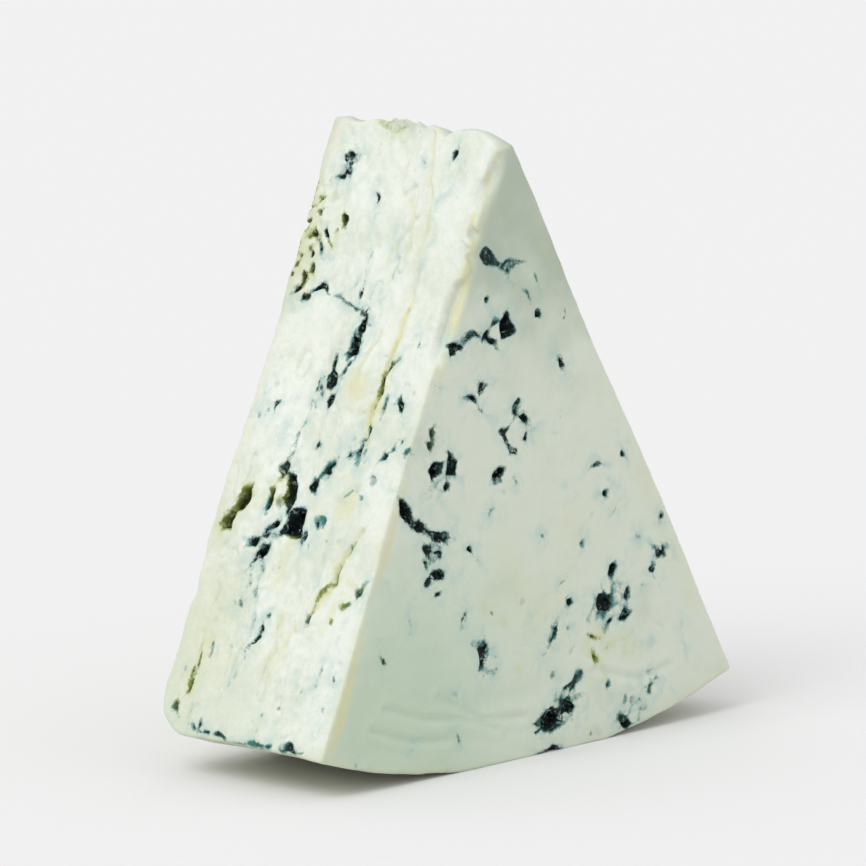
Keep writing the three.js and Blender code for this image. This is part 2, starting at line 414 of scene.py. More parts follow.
@dataclass
class ReliefMaker:
    """Makes the relief of each side.

    Attributes:
        sizes: The wedge's sizes.
        fields: Where the random fields come from.
        step: Distance between samples.
        spare: How far a map reaches past the side.
        LEDGE: Where the torn side's ledge runs, as places down and across.
        SEAMS: The torn side's creamy seams.
        WRINKLES: Routes of the cut end's wrinkles, as places down and across.
    """

    sizes: WedgeSizes
    fields: RandomFields
    step: float = 0.2
    spare: float = 4.0

    LEDGE = ((0, 15), (7, 14), (11, 12.8), (17, 11), (24, 9.4), (29, 9.4), (38, 11), (60, 11), (70, 8.5),
             (90, 10))
    SEAMS = (
        Seam(((1, 15.2), (7, 14), (11, 12.8), (17, 11), (24, 9.4), (29, 9.4)), 0.5, 0.42, 1.2),
        Seam(((19, 17), (22, 17)), 0.3, 0.4, 0.8),
        Seam(((29, 9.4), (34, 9.8), (38, 10.8), (42, 10.8), (46, 11), (50, 11)), 0.8, 0.75, 1.1),
        Seam(((64, 5.6), (69, 8), (73, 8.2), (77, 10), (80, 11.6)), 0.8, 0.65, 0.6),
        Seam(((33, 15), (38, 16.4), (44, 17)), 0.4, 0.5, 0.8),
        Seam(((12, 16.4), (15, 15.2), (20, 14)), 0.35, 0.4, 0.8),
        Seam(((80, 14), (86, 16.4), (91, 17.4)), 0.2, 0.4, 0.9),
    )
    WRINKLES = (
        ((85, -30), (88, -21), (89, -14), (92, -6)), ((88, -33), (91, -24), (92, -17)),
        ((85, -18), (90, -9), (91, 0)), ((86, 16), (89, 24), (88, 30)),
    )

    def _sheet(self, down: tuple[float, float], across: tuple[float, float]) -> Sheet:
        """Lays samples from one end to the other each way, with a spare strip all round.

        Args:
            down: Where the side starts and ends down its length.
            across: Where it starts and ends across.

        Returns:
            The sheet of samples.
        """
        column, row = (np.arange(low - self.spare, high + self.spare, self.step, dtype=np.float32)
                       for low, high in (down, across))
        low = (down[0] - self.spare, across[0] - self.spare)
        return Sheet(self.fields, self.step, low, column[:, None], row[None, :])

    def _long_side(self) -> Sheet:
        """A sheet for the torn or the clean side."""
        return self._sheet((0.0, self.sizes.radius), (0.0, 2 * self.sizes.half_depth))

    def _flat_end(self) -> Sheet:
        """A sheet for the cut end or the wheel's own end."""
        return self._sheet((0.0, self.sizes.radius), (-self.sizes.half_width, self.sizes.half_width))

    def torn(self) -> Relief:
        """The torn side: a smooth proud band, a ledge, seams, plates, fissures and crumbs.

        Returns:
            The relief.
        """
        sheet = self._long_side()
        down, across, depth = sheet.down, sheet.across, 2 * self.sizes.half_depth
        wander = sheet.swells((0.6, 5, 3), (0.3, 1.2, 1.0))
        beyond = smoothstep(-0.6, 0.6, across - np.interp(down, *zip(*self.LEDGE)) + wander)
        rough = (0.3 + 0.7 * beyond) * (1 - 0.55 * smoothstep(depth - 5, depth, across))
        ledge = -0.5 * beyond * (1 - smoothstep(45, 80, down))
        plates = sheet.swells((0.9, 10, 4), (0.35, 3.4, 1.6))
        terrace = 0.34 * (plates - 0.9 * np.sin(2 * math.pi * plates) / (2 * math.pi))
        grain = sheet.swells((0.10, 2.6, 1.4), (0.075, 1.3, 0.8), (0.04, 0.7, 0.5))
        lines = sheet.lines(10, 1.8, 0.17) * sheet.patches(-0.6, 0.5, 12, 7)
        ticks = sheet.lines(3.2, 1.3, 0.13) * sheet.patches(0.3, 1.0, 6, 5)
        pits = -0.5 * sheet.patches(2.3, 3.0, 0.9, 0.8)
        height = (sheet.swells((0.16, 22, 12)) + ledge
                  + rough * (terrace + grain - 0.6 * lines - 0.4 * ticks) + pits)
        cream = self._torn_cream(sheet, wander)
        for seam in self.SEAMS:
            gap = sheet.seam(seam.route, 0.6 * wander)
            broken = sheet.patches(-1.4, 0.2, 2.6, 2.0)
            height -= seam.cut * (0.35 + 0.65 * broken) * bell(gap, 0.4)
            cream = np.maximum(cream, seam.cream * bell(gap, seam.width))
        calm = 1 - 0.5 * smoothstep(86, 96, down)
        return sheet.relief(height * calm, cream)

    @staticmethod
    def _torn_cream(sheet: Sheet, wander: np.ndarray) -> np.ndarray:
        """Cream on the torn side away from its seams: smears, one broad faint patch low down by the wheel end
        that is partly painted shade, its cut bevel and three chips by the tip.

        Args:
            sheet: The side's samples.
            wander: How far shapes stray sideways at each sample.

        Returns:
            How creamy each sample is.
        """
        down, across = sheet.down, sheet.across
        cream = np.zeros_like(wander)
        # The broad faint spot at 84 down and 34 across tints the lower part by the wheel end cream, and also
        # darkens it as painted shade.
        for d0, a0, reach, strength in ((60, 10.5, 3.2, 0.55), (42, 16, 3.0, 0.5), (20, 37, 4.6, 0.35),
                                        (84, 34, 15, 0.26), (3, 37, 4, 0.3)):
            spot = np.hypot((down - d0) / 1.4, across - a0 + 0.5 * wander) / reach
            cream = np.maximum(cream, strength * (1 - smoothstep(0.3, 1.1, spot)))
        bevelled = smoothstep(2.5, 5.5, down) * (1 - smoothstep(32, 44, down))
        bevel = (1 - smoothstep(0.3, 1.3, across + 0.4 * wander)) * bevelled
        cream = np.maximum(cream, 0.3 * bevel)
        for d0, a0 in ((7.2, 1.6), (13.6, 1.4), (4.5, 0.8)):
            spot = np.hypot((down - d0) / 2.2, (across - a0 + 0.12 * (down - d0) + 0.3 * wander) / 0.6)
            cream = np.maximum(cream, 0.7 * (1 - smoothstep(0.4, 1.1, spot)))
        return cream

    def clean(self) -> Relief:
        """The clean-cut side: nearly flat, with fine drag lines and a few fissures.

        Returns:
            The relief.
        """
        sheet = self._long_side()
        lines = sheet.lines(8, 1.6, 0.12) * sheet.patches(0.2, 1.0, 10, 7)
        height = (sheet.swells((0.12, 20, 12), (0.035, 14, 0.9), (0.03, 1.2, 1.0)) - 0.3 * lines
                  - 0.4 * sheet.patches(2.4, 3.0, 1.0, 0.9))
        cream = 0.3 * smoothstep(0.0, 2.2, sheet.swells((1.0, 14, 6), (0.6, 2.4, 1.6)))
        return sheet.relief(height, cream)

    def cut_end(self) -> Relief:
        """The freshly cut end: waxy and smooth, with a few soft wrinkles near the rind.

        Returns:
            The relief.
        """
        sheet = self._flat_end()
        down, across = sheet.down, sheet.across
        wander = sheet.swells((1.2, 5, 7))
        low_zone = smoothstep(76, 90, down + 3 * wander)
        height = (sheet.swells((0.10, 16, 16), (0.028, 3, 4), (0.018, 0.9, 1.1))
                  + 0.08 * low_zone * sheet.noise(2.4, 13) - 0.45 * sheet.patches(2.6, 3.2, 1.0, 1.0))
        for route in self.WRINKLES:
            gap = sheet.seam(route, 0.5 * wander)
            height -= 0.24 * bell(gap, 0.55) - 0.10 * bell(gap - 1.3, 0.8)
        inward = (down + self.sizes.worn) * math.tan(self.sizes.half_angle) - np.abs(across)
        patchy = sheet.patches(-0.8, 0.8, 9, 7)
        cream = 0.3 * (1 - smoothstep(2, 7, inward + 0.8 * wander)) * patchy
        strip = (1 - smoothstep(1.5, 2.8, inward + 0.3 * wander)) * (across < 0)
        cream = np.maximum(cream, strip * (0.45 + 0.4 * patchy))
        spot = np.hypot((down - 66) / 1.3, across - 5) / 17
        cream = np.maximum(cream, 0.3 * (1 - smoothstep(0.3, 1.1, spot)) * patchy)
        return sheet.relief(height, cream)

    def wheel_end(self) -> Relief:
        """The wheel's own end: gently uneven, and creased by its wrapping.

        Returns:
            The relief.
        """
        sheet = self._flat_end()
        crease = sheet.swells((1.0, 9, 5), (0.4, 2.5, 2))
        height = (sheet.swells((0.16, 15, 15), (0.05, 2.5, 2.5), (0.03, 1, 1))
                  - 0.22 * thread(crease, 0.08) - 0.5 * sheet.patches(2.2, 3.0, 1.3, 1.3))
        cream = 0.4 * smoothstep(0.0, 2.4, sheet.swells((1.0, 13, 13), (0.6, 2.4, 2.4)))
        return sheet.relief(height, cream)

    def rind(self) -> Relief:
        """The rind, unrolled: its length along the arc, then across.

        Returns:
            The relief.
        """
        half_length = self.sizes.half_width + self.spare
        sheet = self._sheet((-half_length, half_length), (0.0, 2 * self.sizes.half_depth))
        crease = sheet.noise(3, 9)
        height = (sheet.swells((0.14, 12, 10), (0.06, 2, 2)) - 0.2 * thread(crease, 0.1)
                  - 0.5 * sheet.patches(2.1, 2.9, 1.2, 1.2))
        cream = 0.5 * smoothstep(0.0, 2.2, sheet.swells((1.0, 12, 9), (0.6, 2.2, 2.2)))
        return sheet.relief(height, cream)


# ---- Mould ----


@dataclass(frozen=True)
class Cavity:
    """One mould cavity on a flat side, in millimetres and degrees.

    Attributes:
        side: The side that it opens on.
        down: Its distance down from the tip.
        across: Its place across the side.
        length: Its size along its own long direction.
        width: Its size across that.
        depth: How deep it goes.
        turn: How far its long direction is turned from straight down.
        form: How it is broken open.
        mould: What grows in it.
        faint: How far the mould keeps away from it.
    """

    side: Side
    down: float
    across: float
    length: float
    width: float
    depth: float
    turn: float = 0.0
    form: Form = Form.OPEN
    mould: Mould = Mould.BLUE
    faint: float = 0.0


@dataclass(frozen=True)
class Stroke:
    """A thin line of mould on a flat side.

    Attributes:
        side: The side that it runs over.
        route: Points on it, down and across.
        width: Its width.
        depth: How deep it is.
        mould: What grows in it.
        faint: How far the mould keeps away from it.
    """

    side: Side
    route: tuple[tuple[float, float], ...]
    width: float = 0.6
    depth: float = 0.6
    mould: Mould = Mould.BLUE
    faint: float = 0.0


def placed(side: Side, form: Form, mould: Mould, rows: Iterable[Sequence[float]]) -> list[Cavity]:
    """Makes a cavity from each row of down, across, length, width, depth and turn.

    Args:
        side: The side that they open on.
        form: How they are broken open.
        mould: What grows in them.
        rows: Their places and sizes.

    Returns:
        The cavities.
    """
    return [Cavity(side, *row, form=form, mould=mould) for row in rows]


def torn_cavities() -> list[Cavity]:
    """The cavities of the torn side, each where it shows.

    Returns:
        The cavities.
    """
    side = Side.TORN
    return (
        placed(side, Form.OPEN, Mould.BLUE, (
            (64.6, 21.6, 7.0, 5.8, 3.8, -14), (41.6, 22.2, 4.0, 2.6, 2.2, -14),
            (44.8, 21.4, 2.6, 1.6, 1.6, 10),
            (52, 21, 1.9, 1.5, 1.2, 20), (70, 26.6, 3.4, 2.2, 1.8, 40), (16.6, 29.8, 2.6, 1.3, 1.0, -35),
            (58.4, 19, 2.4, 2.2, 1.5, 20), (68.8, 28.8, 1.8, 1.8, 1.2, 10)))
        + placed(side, Form.SLIT, Mould.BLUE, (
            (8, 32.2, 2.6, 1.0, 0.8, 24), (6.4, 31.0, 2.2, 0.7, 0.7, -6), (9.6, 33.6, 1.8, 0.9, 0.8, 40),
            (7.2, 33.2, 1.6, 0.6, 0.6, -30),
            (32.6, 18.8, 5.4, 1.5, 2.2, -4), (36.2, 19.8, 5.0, 2.1, 2.2, 12), (55.6, 16.8, 4.2, 1.0, 1.2, 38),
            (60, 24.8, 8.0, 2.9, 2.8, -12), (83, 22, 3.6, 1.6, 1.6, 34), (18.8, 33.6, 2.2, 1.0, 1.0, -30),
            (21.6, 33.6, 2.6, 1.0, 0.9, -30), (24.6, 34.8, 1.6, 0.9, 0.9, -40),
            (12.5, 24, 2.3, 0.9, 0.8, -24),
            (22, 21.6, 2.6, 0.6, 0.8, 4), (25, 21.6, 3.0, 0.9, 0.9, -6), (43.6, 5.2, 2.6, 0.8, 0.9, -25),
            (44.6, 8.6, 2.2, 0.6, 0.7, 4), (61.5, 27.8, 3.0, 1.3, 1.2, -6), (78, 28, 2.0, 0.8, 0.8, -20),
            (47, 33, 2.4, 1.0, 0.8, 0), (65.4, 26, 3.0, 1.4, 1.6, 44), (39.4, 22.8, 2.6, 1.0, 1.2, 16),
            (34, 5, 1.2, 0.6, 0.6, -20), (40, 19.6, 5.0, 0.8, 1.0, 20), (76, 4.6, 1.6, 0.6, 0.7, 80),
            (98, 29, 1.4, 0.7, 0.6, 0), (3.6, 9.4, 1.9, 0.8, 0.7, 10), (50.6, 3.8, 1.6, 0.9, 0.8, 40),
            (49.4, 2.4, 1.2, 0.8, 0.7, 30), (52.2, 5.4, 1.4, 0.8, 0.7, 50), (50.8, 1.0, 1.2, 0.7, 0.6, 10)))
        + placed(side, Form.SLIT, Mould.MIXED, (
            (38.4, 10.2, 4.8, 1.8, 2.0, 12), (66.2, 35.2, 4.4, 1.8, 3.4, 66), (41.4, 11, 2.6, 0.9, 1.2, -10),
            (74, 2.6, 2.8, 1.3, 1.2, -8), (93, 34, 2.6, 0.9, 0.9, 4), (95.8, 35.4, 2.4, 1.0, 0.9, -20),
            (96, 32.2, 1.8, 0.7, 0.6, 0), (56.6, 27.4, 3.6, 1.8, 1.2, -8), (16, 35.4, 1.6, 0.9, 0.8, 20),
            (19.4, 36.2, 1.5, 0.8, 0.7, 10), (26.6, 35.8, 1.6, 0.9, 0.8, -20), (14, 36.4, 1.4, 0.7, 0.6, 30),
            (23.4, 37.4, 1.4, 0.8, 0.7, 0), (28.6, 36.2, 1.8, 1.0, 0.8, 40), (22.6, 35.4, 1.2, 0.6, 0.6, 20)))
        + placed(side, Form.CLUSTER, Mould.BLUE, (
            (7.6, 32, 4.4, 3.4, 1.0, 10), (28.6, 34.4, 3.0, 2.4, 1.2, 0), (52, 11.8, 4.4, 4.2, 1.4, 0),
            (68.8, 27.4, 4.8, 3.0, 1.4, 40), (66.4, 18.6, 4.2, 2.6, 1.3, 0), (63.8, 15, 2.2, 2.2, 0.9, 0),
            (43.6, 24.8, 3.4, 2.0, 1.0, 0)))
        + placed(side, Form.OPEN, Mould.OLIVE, (
            (62.6, 33.6, 6.4, 3.6, 2.6, 34), (65.8, 35.4, 4.2, 3.2, 2.4, 60), (13, 38.8, 2.8, 1.0, 1.0, 8)))
        + placed(side, Form.SLIT, Mould.OLIVE, (
            (87.6, 33.2, 3.6, 0.7, 0.7, -6), (90.8, 34, 2.4, 0.6, 0.6, 10), (18.6, 38.2, 1.8, 0.9, 0.8, 10),
            (20.8, 39, 1.6, 0.8, 0.8, -20), (16, 38.2, 1.6, 0.8, 0.8, 20), (24.6, 37.8, 1.4, 0.8, 0.7, 10),
            (22, 36.2, 1.3, 0.8, 0.6, 30), (26.4, 38.2, 1.5, 0.8, 0.7, 0), (14.8, 38.9, 2.6, 0.9, 0.8, 4),
            (23, 38.9, 1.2, 0.9, 0.6, 20), (25.6, 36.2, 1.3, 0.7, 0.6, -30), (11.6, 39.1, 1.4, 0.8, 0.6, 0)))
    )


def torn_strokes() -> list[Stroke]:
    """The thin lines of mould on the torn side.

    Returns:
        The strokes.
    """
    side = Side.TORN
    return [
        Stroke(side, ((28.2, 32.6), (27.6, 30.6), (28, 28.4)), 0.6, 0.6),
        Stroke(side, ((28, 28.4), (28.4, 26), (29.4, 23), (30.6, 19.6), (31.8, 17)), 0.36, 0.5),
        Stroke(side, ((84.8, 22.8), (88, 23.6), (91.5, 24.4)), 0.34, 0.2, faint=0.15),
        Stroke(side, ((39.6, 10.6), (43, 11), (46, 11.2)), 0.3, 0.8, Mould.OLIVE, 0.1),
        Stroke(side, ((47, 11.2), (49.6, 11)), 0.6, 1.0, Mould.MIXED),
        Stroke(side, ((65.6, 6.4), (69, 8.2)), 0.3, 0.5, Mould.MIXED, 0.1),
        Stroke(side, ((69, 8.2), (73, 8.4), (77, 10.2)), 0.3, 0.6, Mould.OLIVE, 0.06),
        Stroke(side, ((77, 10.2), (80, 11.6)), 0.4, 0.6, Mould.MIXED),
        Stroke(side, ((45, 26.2), (48, 26), (52, 27), (56, 27.4)), 0.24, 0.25, faint=0.15),
        Stroke(side, ((71, 26), (74, 25.2), (77, 26)), 0.6, 0.3, faint=0.2),
        Stroke(side, ((72.5, 27.4), (75.5, 27.6)), 0.5, 0.3, faint=0.2),
        Stroke(side, ((66, 26.5), (70, 26.8), (73, 28.4)), 0.4, 0.4, faint=0.1),
        Stroke(side, ((59.6, 12), (57.6, 9.6), (59.4, 7)), 0.22, 0.3, faint=0.2),
        Stroke(side, ((5.6, 6), (7.4, 8.4), (12, 10.2), (16, 9.8), (18, 8.8)), 0.5, 0.1, faint=0.5),
        Stroke(side, ((19, 15.4), (22, 15.6), (25, 16)), 0.24, 0.3, faint=0.15),
        Stroke(side, ((4.4, 17), (6, 15.8)), 0.24, 0.3, faint=0.15),
        Stroke(side, ((79, 18), (84, 17.2), (88, 17.6)), 0.3, 0.25, Mould.OLIVE, 0.55),
        Stroke(side, ((98.9, 30.6), (99.3, 27)), 0.36, 0.3),
        Stroke(side, ((99.4, 25.4), (99.6, 22.6)), 0.3, 0.3),
        Stroke(side, ((99.6, 20.4), (99.7, 16), (99.6, 12)), 0.4, 0.35),
        Stroke(side, ((99.6, 9.6), (99.5, 5)), 0.36, 0.3),
        Stroke(side, ((0.6, 27.4), (1.8, 25.2), (1.2, 23)), 0.7, 0.15, Mould.OLIVE, 0.35),
        Stroke(side, ((14, 37.6), (19, 37), (25, 37.2)), 1.6, 0.1, Mould.OLIVE, 0.7),
    ]


def cut_end_cavities() -> list[Cavity]:
    """The cavities of the freshly cut end, each where it shows.

    Returns:
        The cavities.
    """
    side = Side.CUT_END
    return (
        placed(side, Form.OPEN, Mould.BLUE, (
            (29.4, -1.4, 4.8, 4.0, 3.0, -20), (31.2, -4.6, 3.0, 1.3, 1.6, 50), (31, -12.4, 2.3, 2.8, 1.8, 30),
            (28.4, 5.4, 1.7, 1.7, 1.2, 20), (24.6, -5.2, 1.2, 1.0, 0.8, 0), (49.6, -17.2, 3.4, 2.6, 2.0, -34),
            (49.4, -13.6, 4.6, 2.2, 2.0, 6), (52.4, -4.4, 2.4, 2.5, 1.8, 50),
            (54.8, -23.6, 5.4, 2.6, 2.6, 24), (57.8, -20.8, 3.0, 1.7, 1.8, 44),
            (60.2, -16.4, 1.6, 4.0, 1.6, -14), (66, -17.4, 2.2, 3.8, 1.6, -8),
            (69, -17.8, 1.4, 1.6, 1.0, 0), (74.6, 9.2, 1.4, 1.4, 1.1, 0), (92.6, 4.6, 3.8, 5.4, 2.8, 10),
            (91, 8.6, 3.2, 2.6, 1.8, 40), (71, 18.8, 2.6, 1.9, 1.4, -30), (58.8, 17.6, 1.4, 1.2, 1.0, 30),
            (76, 16.6, 3.8, 3.2, 2.2, 40), (78.6, 20.8, 2.2, 2.4, 1.4, 0), (64.4, 29.4, 1.6, 1.2, 1.0, 20)))
        + placed(side, Form.SLIT, Mould.BLUE, (
            (39.6, -9.2, 3.6, 1.3, 1.4, 56), (38.4, -6.6, 3.0, 1.2, 1.2, -60), (37, 9.8, 2.1, 1.1, 1.0, 24),
            (53.8, 16.8, 2.0, 0.9, 0.8, 60), (53.2, 22, 1.4, 0.8, 0.7, 20), (63, -10.8, 1.5, 0.9, 0.8, 50),
            (28.6, -4.2, 3.0, 0.9, 1.0, -50), (29.8, -5.6, 3.2, 0.8, 0.9, -50),
            (44.8, 2.0, 3.2, 1.4, 1.2, 40),
            (47.6, 1.6, 1.7, 1.4, 1.2, 20), (79.8, 5.6, 3.8, 1.3, 1.4, -24), (98.4, -15, 2.4, 1.0, 1.0, 86),
            (98.4, -8.5, 1.8, 0.9, 0.8, 86), (73.6, -12.6, 1.8, 0.9, 0.9, -20), (72.6, 27, 1.8, 0.8, 0.8, 50),
            (97.4, 4.6, 2.0, 5.0, 1.4, 4), (33.4, 17, 1.8, 0.8, 0.8, 20), (69, 27.6, 1.6, 0.8, 0.7, 30),
            (27.6, 16, 1.8, 0.8, 0.7, 10), (62.8, -17.2, 2.2, 1.2, 1.0, 30), (63.4, -20, 1.4, 0.8, 0.8, 0)))
        + placed(side, Form.SLIT, Mould.MIXED, (
            (43.4, -17.4, 3.0, 1.0, 1.1, -14), (45.6, -18.2, 1.8, 0.8, 0.9, 10),
            (77.6, -29.6, 1.5, 1.0, 0.8, 0)))
        + placed(side, Form.CLUSTER, Mould.BLUE, (
            (76.6, 17.4, 5.8, 5.6, 1.4, 0), (80.5, -8.8, 6.2, 3.2, 1.4, 12), (91.6, 6.6, 4.6, 6.8, 1.4, 20),
            (94, 21, 4.4, 6, 1.4, 60), (91, 26, 4, 2.6, 1.0, -20), (70, 29, 2.6, 2.6, 1.0, 0),
            (52.2, -15.8, 2.2, 4.0, 0.8, 0), (61.6, -18.8, 2.6, 3.6, 1.0, 0), (75, 21.6, 2.4, 2.6, 0.9, 0)))
        + placed(side, Form.OPEN, Mould.OLIVE, ((84, 14.4, 2.4, 1.3, 1.2, 10), (80.8, 14, 1.4, 1.2, 0.8, 0)))
    )


def cut_end_strokes() -> list[Stroke]:
    """The thin lines of mould on the freshly cut end.

    Returns:
        The strokes.
    """
    side = Side.CUT_END
    return [
        Stroke(side, ((17.4, -5.4), (19, -4.2)), 0.8, 0.6),
        Stroke(side, ((19, -4.2), (20.2, -2), (20.6, -0.6), (22.8, 0.6)), 0.45, 0.5),
        Stroke(side, ((20.4, -0.6), (20.2, 2)), 0.36, 0.3, faint=0.1),
        Stroke(side, ((21, -1), (23.2, -2.4)), 0.4, 0.3),
        Stroke(side, ((24, 3.2), (26, 4.6)), 0.4, 0.3, faint=0.1),
        Stroke(side, ((30.8, -11.4), (30, -9.6), (29.8, -7)), 0.46, 0.7),
        Stroke(side, ((56, -22.4), (59, -19.6), (60.4, -17)), 0.7, 0.9),
        Stroke(side, ((94, 2), (90, 8.6), (87.6, 10.4)), 0.45, 0.4),
        Stroke(side, ((88, 8.4), (86.6, 11.6)), 0.5, 0.4),
        Stroke(side, ((67.4, -19.8), (66.2, -18.4)), 0.35, 0.3),
        Stroke(side, ((41.4, 0.6), (43.8, -0.6)), 0.45, 0.4),
        Stroke(side, ((43.8, -0.6), (46.2, -3.4), (49.2, -1.2), (49.8, 0.2)), 0.5, 0.6),
        Stroke(side, ((36, -16.8), (37, -15.4)), 0.5, 0.2, faint=0.35),
        Stroke(side, ((70, -24.8), (72, -24), (74, -24.2)), 0.3, 0.3, faint=0.25),
        Stroke(side, ((45, 9.4), (46.6, 8.6)), 0.4, 0.2, faint=0.3),
        Stroke(side, ((60.5, 20.6), (63, 18.8)), 0.4, 0.2, faint=0.4),
        Stroke(side, ((53, -0.8), (54.4, -0.2)), 0.35, 0.3, faint=0.2),
    ]


@dataclass(frozen=True)
class Scatter:
    """Cavities strewn over a side, in millimetres and degrees.

    Attributes:
        side: The side.
        count: How many.
        seed: Where the random numbers start.
        shortest: Length of the smallest.
        longest: Length of the largest.
        lean: How far they may turn from straight down.
        slim: Width of a slit as a part of its length.
        squat: Width of a cavity of any other form as a part of its length.
        margin: Bare strip kept along the side's edges.
        above_rind: Bare strip kept above the rind on an end.
        faint: How far the mould keeps away from them.
    """

    side: Side
    count: int
    seed: int
    shortest: float
    longest: float
    lean: float
    slim: float = 0.35
    squat: float = 0.75
    margin: float = 1.5
    above_rind: float = 5.0
    faint: float = 0.0

    def cavities(self, sizes: WedgeSizes) -> list[Cavity]:
        """Chooses the cavities.

        Args:
            sizes: The wedge's sizes.

        Returns:
            The cavities.
        """
        draw = np.random.default_rng(self.seed)
        forms = (Form.OPEN, Form.SLIT, Form.CLUSTER, Form.SLIT, Form.SLIT)
        found = []
        for index in range(self.count):
            length = self.shortest + (self.longest - self.shortest) * draw.uniform() ** 2.2
            down = sizes.radius * math.sqrt(draw.uniform(0.02, 0.92))
            clear = self.margin + length / 2
            if self.side in (Side.TORN, Side.CLEAN):
                across = draw.uniform(clear, 2 * sizes.half_depth - clear)
            else:
                down = min(down, sizes.radius - self.above_rind)
                half = max(down * math.tan(sizes.half_angle) - clear, 0.2)
                across = draw.uniform(-half, half)
            form = forms[index % len(forms)]
            width = length * (self.slim if form is Form.SLIT else self.squat)
            depth = 0.3 + length * 0.26
            mould = Mould.OLIVE if index % 13 == 6 else Mould.MIXED if index % 7 == 3 else Mould.BLUE
            turn = draw.uniform(-self.lean, self.lean)
            found.append(Cavity(self.side, down, across, length, width, depth, turn, form, mould, self.faint))
        return found


# ---- Carving ----


class Block:
    """A block of voxels round the wedge, in millimetres."""

    def __init__(self, low: Sequence[float], high: Sequence[float], voxel: float) -> None:
        """Lays out the voxels between two corners.

        Args:
            low: The lowest corner.
            high: The highest corner.
            voxel: Distance between voxels.
        """
        self.voxel = voxel
        self.axes = [np.arange(a, b, voxel, dtype=np.float32) for a, b in zip(low, high)]
        self.shape = tuple(axis.size for axis in self.axes)
        self.low = np.array([axis[0] for axis in self.axes])

    def columns(self) -> tuple[np.ndarray, np.ndarray, np.ndarray]:
        """The three axes, each shaped to be combined with the others."""
        x, y, z = self.axes
        return x[:, None, None], y[None, :, None], z[None, None, :]

    def window(self, centre: np.ndarray, reach: float) -> tuple[slice, slice, slice]:
        """The part of the block within reach of a point.

        Args:
            centre: The point.
            reach: How far round it.

        Returns:
            The range of voxels along each axis.
        """
        first = np.floor((centre - reach - self.low) / self.voxel).astype(int)
        last = np.ceil((centre + reach - self.low) / self.voxel).astype(int)
        return tuple(slice(max(0, a), max(0, min(n, b))) for a, b, n in zip(first, last, self.shape))

    def gaps(self, centre: np.ndarray, window: tuple) -> tuple[np.ndarray, np.ndarray, np.ndarray]:
        """How far the voxels of a window lie from a point, along each axis."""
        x, y, z = (axis[part] for axis, part in zip(self.axes, window))
        return x[:, None, None] - centre[0], y[None, :, None] - centre[1], z[None, None, :] - centre[2]

    def sample(self, values: np.ndarray, points: np.ndarray) -> np.ndarray:
        """Reads a field between its voxels.

        Args:
            values: The field.
            points: Places, one row each.

        Returns:
            The field's value at each point.
        """
        place = np.clip((points - self.low) / self.voxel, 0, np.array(self.shape) - 1.001)
        cell = place.astype(int)
        part = place - cell
        total = np.zeros(len(points))
        for corner in np.ndindex(2, 2, 2):
            weight = np.prod(np.where(corner, part, 1 - part), axis=1)
            i, j, k = (cell + corner).T
            total += weight * values[i, j, k]
        return total


